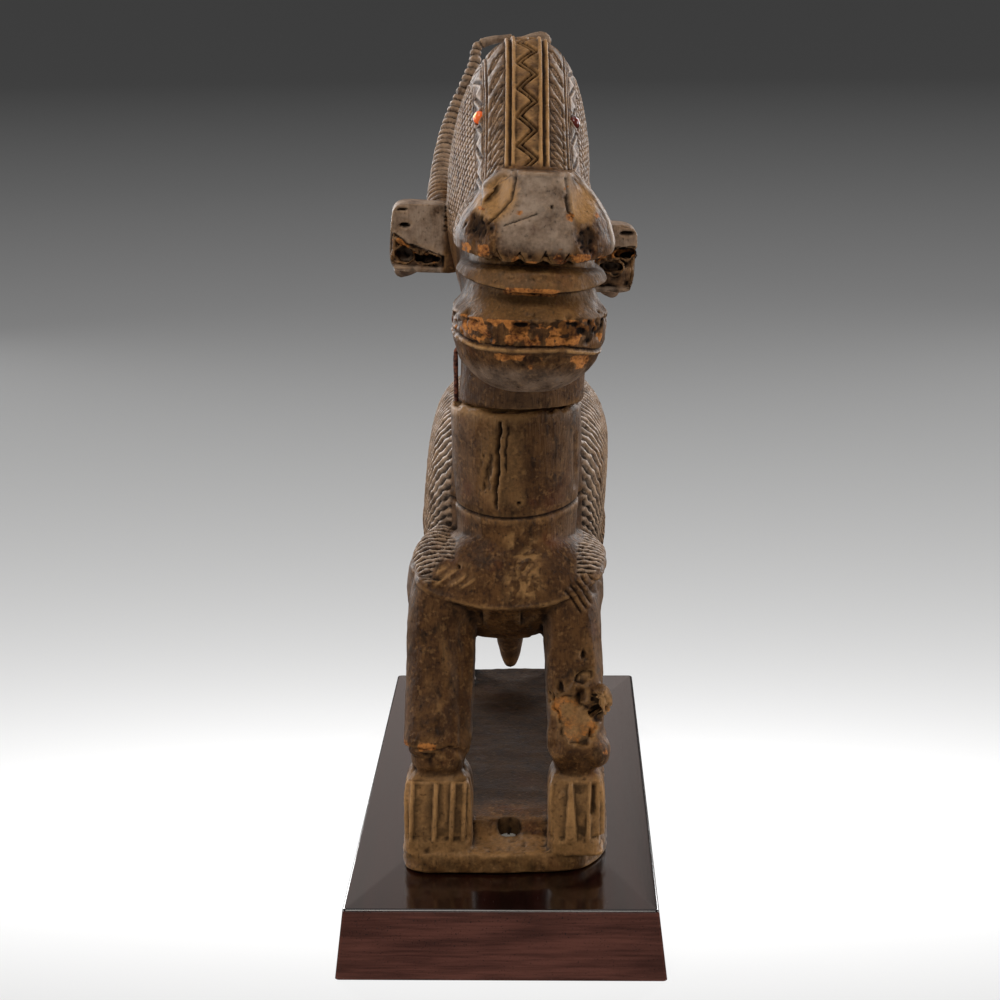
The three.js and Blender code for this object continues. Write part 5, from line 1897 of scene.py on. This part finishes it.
@dataclass(frozen=True)
class StudioBowl:
    """A plain pale floor that runs up into a round wall; lengths are in metres."""

    flat: float = 12.0
    rim: float = 17.0
    wall: float = 9.0
    gain: float = 0.322
    reach: float = 0.117
    falling: float = 0.75
    bounce: float = 0.07

    def build(self) -> None:
        """Rings round the middle, level at first and then climbing as a quarter of an ellipse."""
        radius = np.concatenate([np.geomspace(0.05, self.flat, 40), np.linspace(self.flat, self.rim, 30)[1:]])
        climb = np.clip((radius - self.flat) / (self.rim - self.flat), 0, 1)
        height = self.wall * (1 - np.sqrt(1 - climb**2))
        circle = oval(96, 2)
        points = ovals(circle, (0, 0), (radius, radius), height)
        index = np.arange(len(radius) * len(circle)).reshape(len(radius), -1)
        right = np.roll(index, -1, axis=1)
        quads = np.stack([index[:-1], index[1:], right[1:], right[:-1]], -1).reshape(-1, 4)
        mesh = bpy.data.meshes.new("floor")
        mesh.from_pydata(points.reshape(-1, 3).tolist(), [], [tuple(index[0]), *quads.tolist()])
        mesh.polygons.foreach_set("use_smooth", np.ones(len(mesh.polygons), bool))
        sheet = Sheet("studio_floor")
        ahead = sheet.node("ShaderNodeSeparateXYZ", {}, {0: sheet.place}, output="Y")
        longer = (ahead * -0.5).steps(0.0, 0.6) * 0.9 + 1
        flat = sheet.stretched((0.4, 1.0, 1.0))
        far = sheet.node("ShaderNodeVectorMath", {"operation": "LENGTH"}, {0: flat}, output="Value")
        spread = sheet.node("ShaderNodeMath", {"operation": "POWER"}, {0: far * longer, 1: self.falling})
        glow = sheet.node("ShaderNodeMath", {"operation": "DIVIDE"}, {0: self.gain, 1: spread + self.reach})
        near = 1 - far.steps(0.3, 2.0)
        colour = sheet.mix(near * self.bounce, (0.02,) * 3, (1.0,) * 3)
        shine = sheet.mix((glow - near * self.bounce * 0.35).clamp(), (0.0,) * 3, (1.0,) * 3)
        sheet.set(Base_Color=colour, Roughness=0.9, Specular_IOR_Level=0.0)
        sheet.set(Emission_Color=shine, Emission_Strength=1.0)
        mesh.materials.append(sheet.material)
        floor = bpy.data.objects.new("floor", mesh)
        bpy.context.scene.collection.objects.link(floor)
        floor.visible_glossy = False


@dataclass(frozen=True)
class Softbox:
    """A rectangular lamp aimed at a point; sizes in metres."""

    name: str
    place: tuple
    size: tuple
    power: float
    tint: tuple = (1.0, 1.0, 1.0)
    aim: tuple = (0.0, 0.0, 0.2)

    def build(self) -> None:
        """Makes the lamp, out of the camera's sight."""
        data = bpy.data.lights.new(self.name, "AREA")
        data.shape = "RECTANGLE"
        data.size, data.size_y = self.size
        data.energy = self.power
        data.color = self.tint
        lamp = bpy.data.objects.new(self.name, data)
        lamp.location = self.place
        lamp.rotation_euler = (Vector(self.aim) - Vector(self.place)).to_track_quat("-Z", "Y").to_euler()
        lamp.visible_camera = False
        bpy.context.scene.collection.objects.link(lamp)


def light_studio() -> None:
    """Soft lamps round the object and a dim even surround."""
    for lamp in (
        Softbox("key", (-0.25, -1.3, 1.75), (1.2, 0.8), 19, (1.0, 0.95, 0.87)),
        Softbox("overhead", (0.0, 0.3, 2.1), (1.4, 1.0), 6),
        Softbox("rim_left", (-0.9, 1.3, 0.65), (0.4, 1.3), 16),
        Softbox("rim_right", (0.95, 1.35, 0.75), (0.4, 1.3), 16),
        Softbox("side_left", (-1.5, -0.1, 0.5), (0.6, 0.6), 9),
        Softbox("side_right", (1.5, 0.0, 0.52), (0.6, 0.6), 12),
        Softbox("below", (0.0, -1.6, 0.12), (1.6, 0.15), 1.4),
        Softbox("backdrop_glow", (-0.75, 3.2, 1.5), (2.4, 1.7), 5.6, (1.0, 0.84, 0.78)),
    ):
        lamp.build()
    world = bpy.data.worlds.new("surround")
    world.use_nodes = True
    surround = world.node_tree.nodes["Background"].inputs
    surround["Color"].default_value = (1.0, 0.97, 0.94, 1)
    surround["Strength"].default_value = 0.05
    bpy.context.scene.world = world
    bpy.context.scene.view_settings.view_transform = "Standard"


def main() -> None:
    """Builds the stage and the pieces in order and reports each piece."""
    logging.basicConfig(level=logging.INFO, format="%(message)s")
    Viewpoint().build()
    StudioBowl().build()
    light_studio()
    head = CarvedHead()
    pieces = [
        PlinthBlock().build(),
        CarvedBody().build(),
        head.build(),
        EyeBead("left_seed", "eye_left", head.eye_spots[0], BeadTint.AMBER).build(head),
        EyeBead("right_seed", "eye_right", head.eye_spots[1], BeadTint.DARK).build(head),
        StapleWire().build(),
        SlottedScrew().build(),
    ]
    for piece in pieces:
        log.info("%s: %d triangles", piece.name, len(piece.data.polygons))
    bpy.context.view_layer.update()


if __name__ == "__main__":
    main()
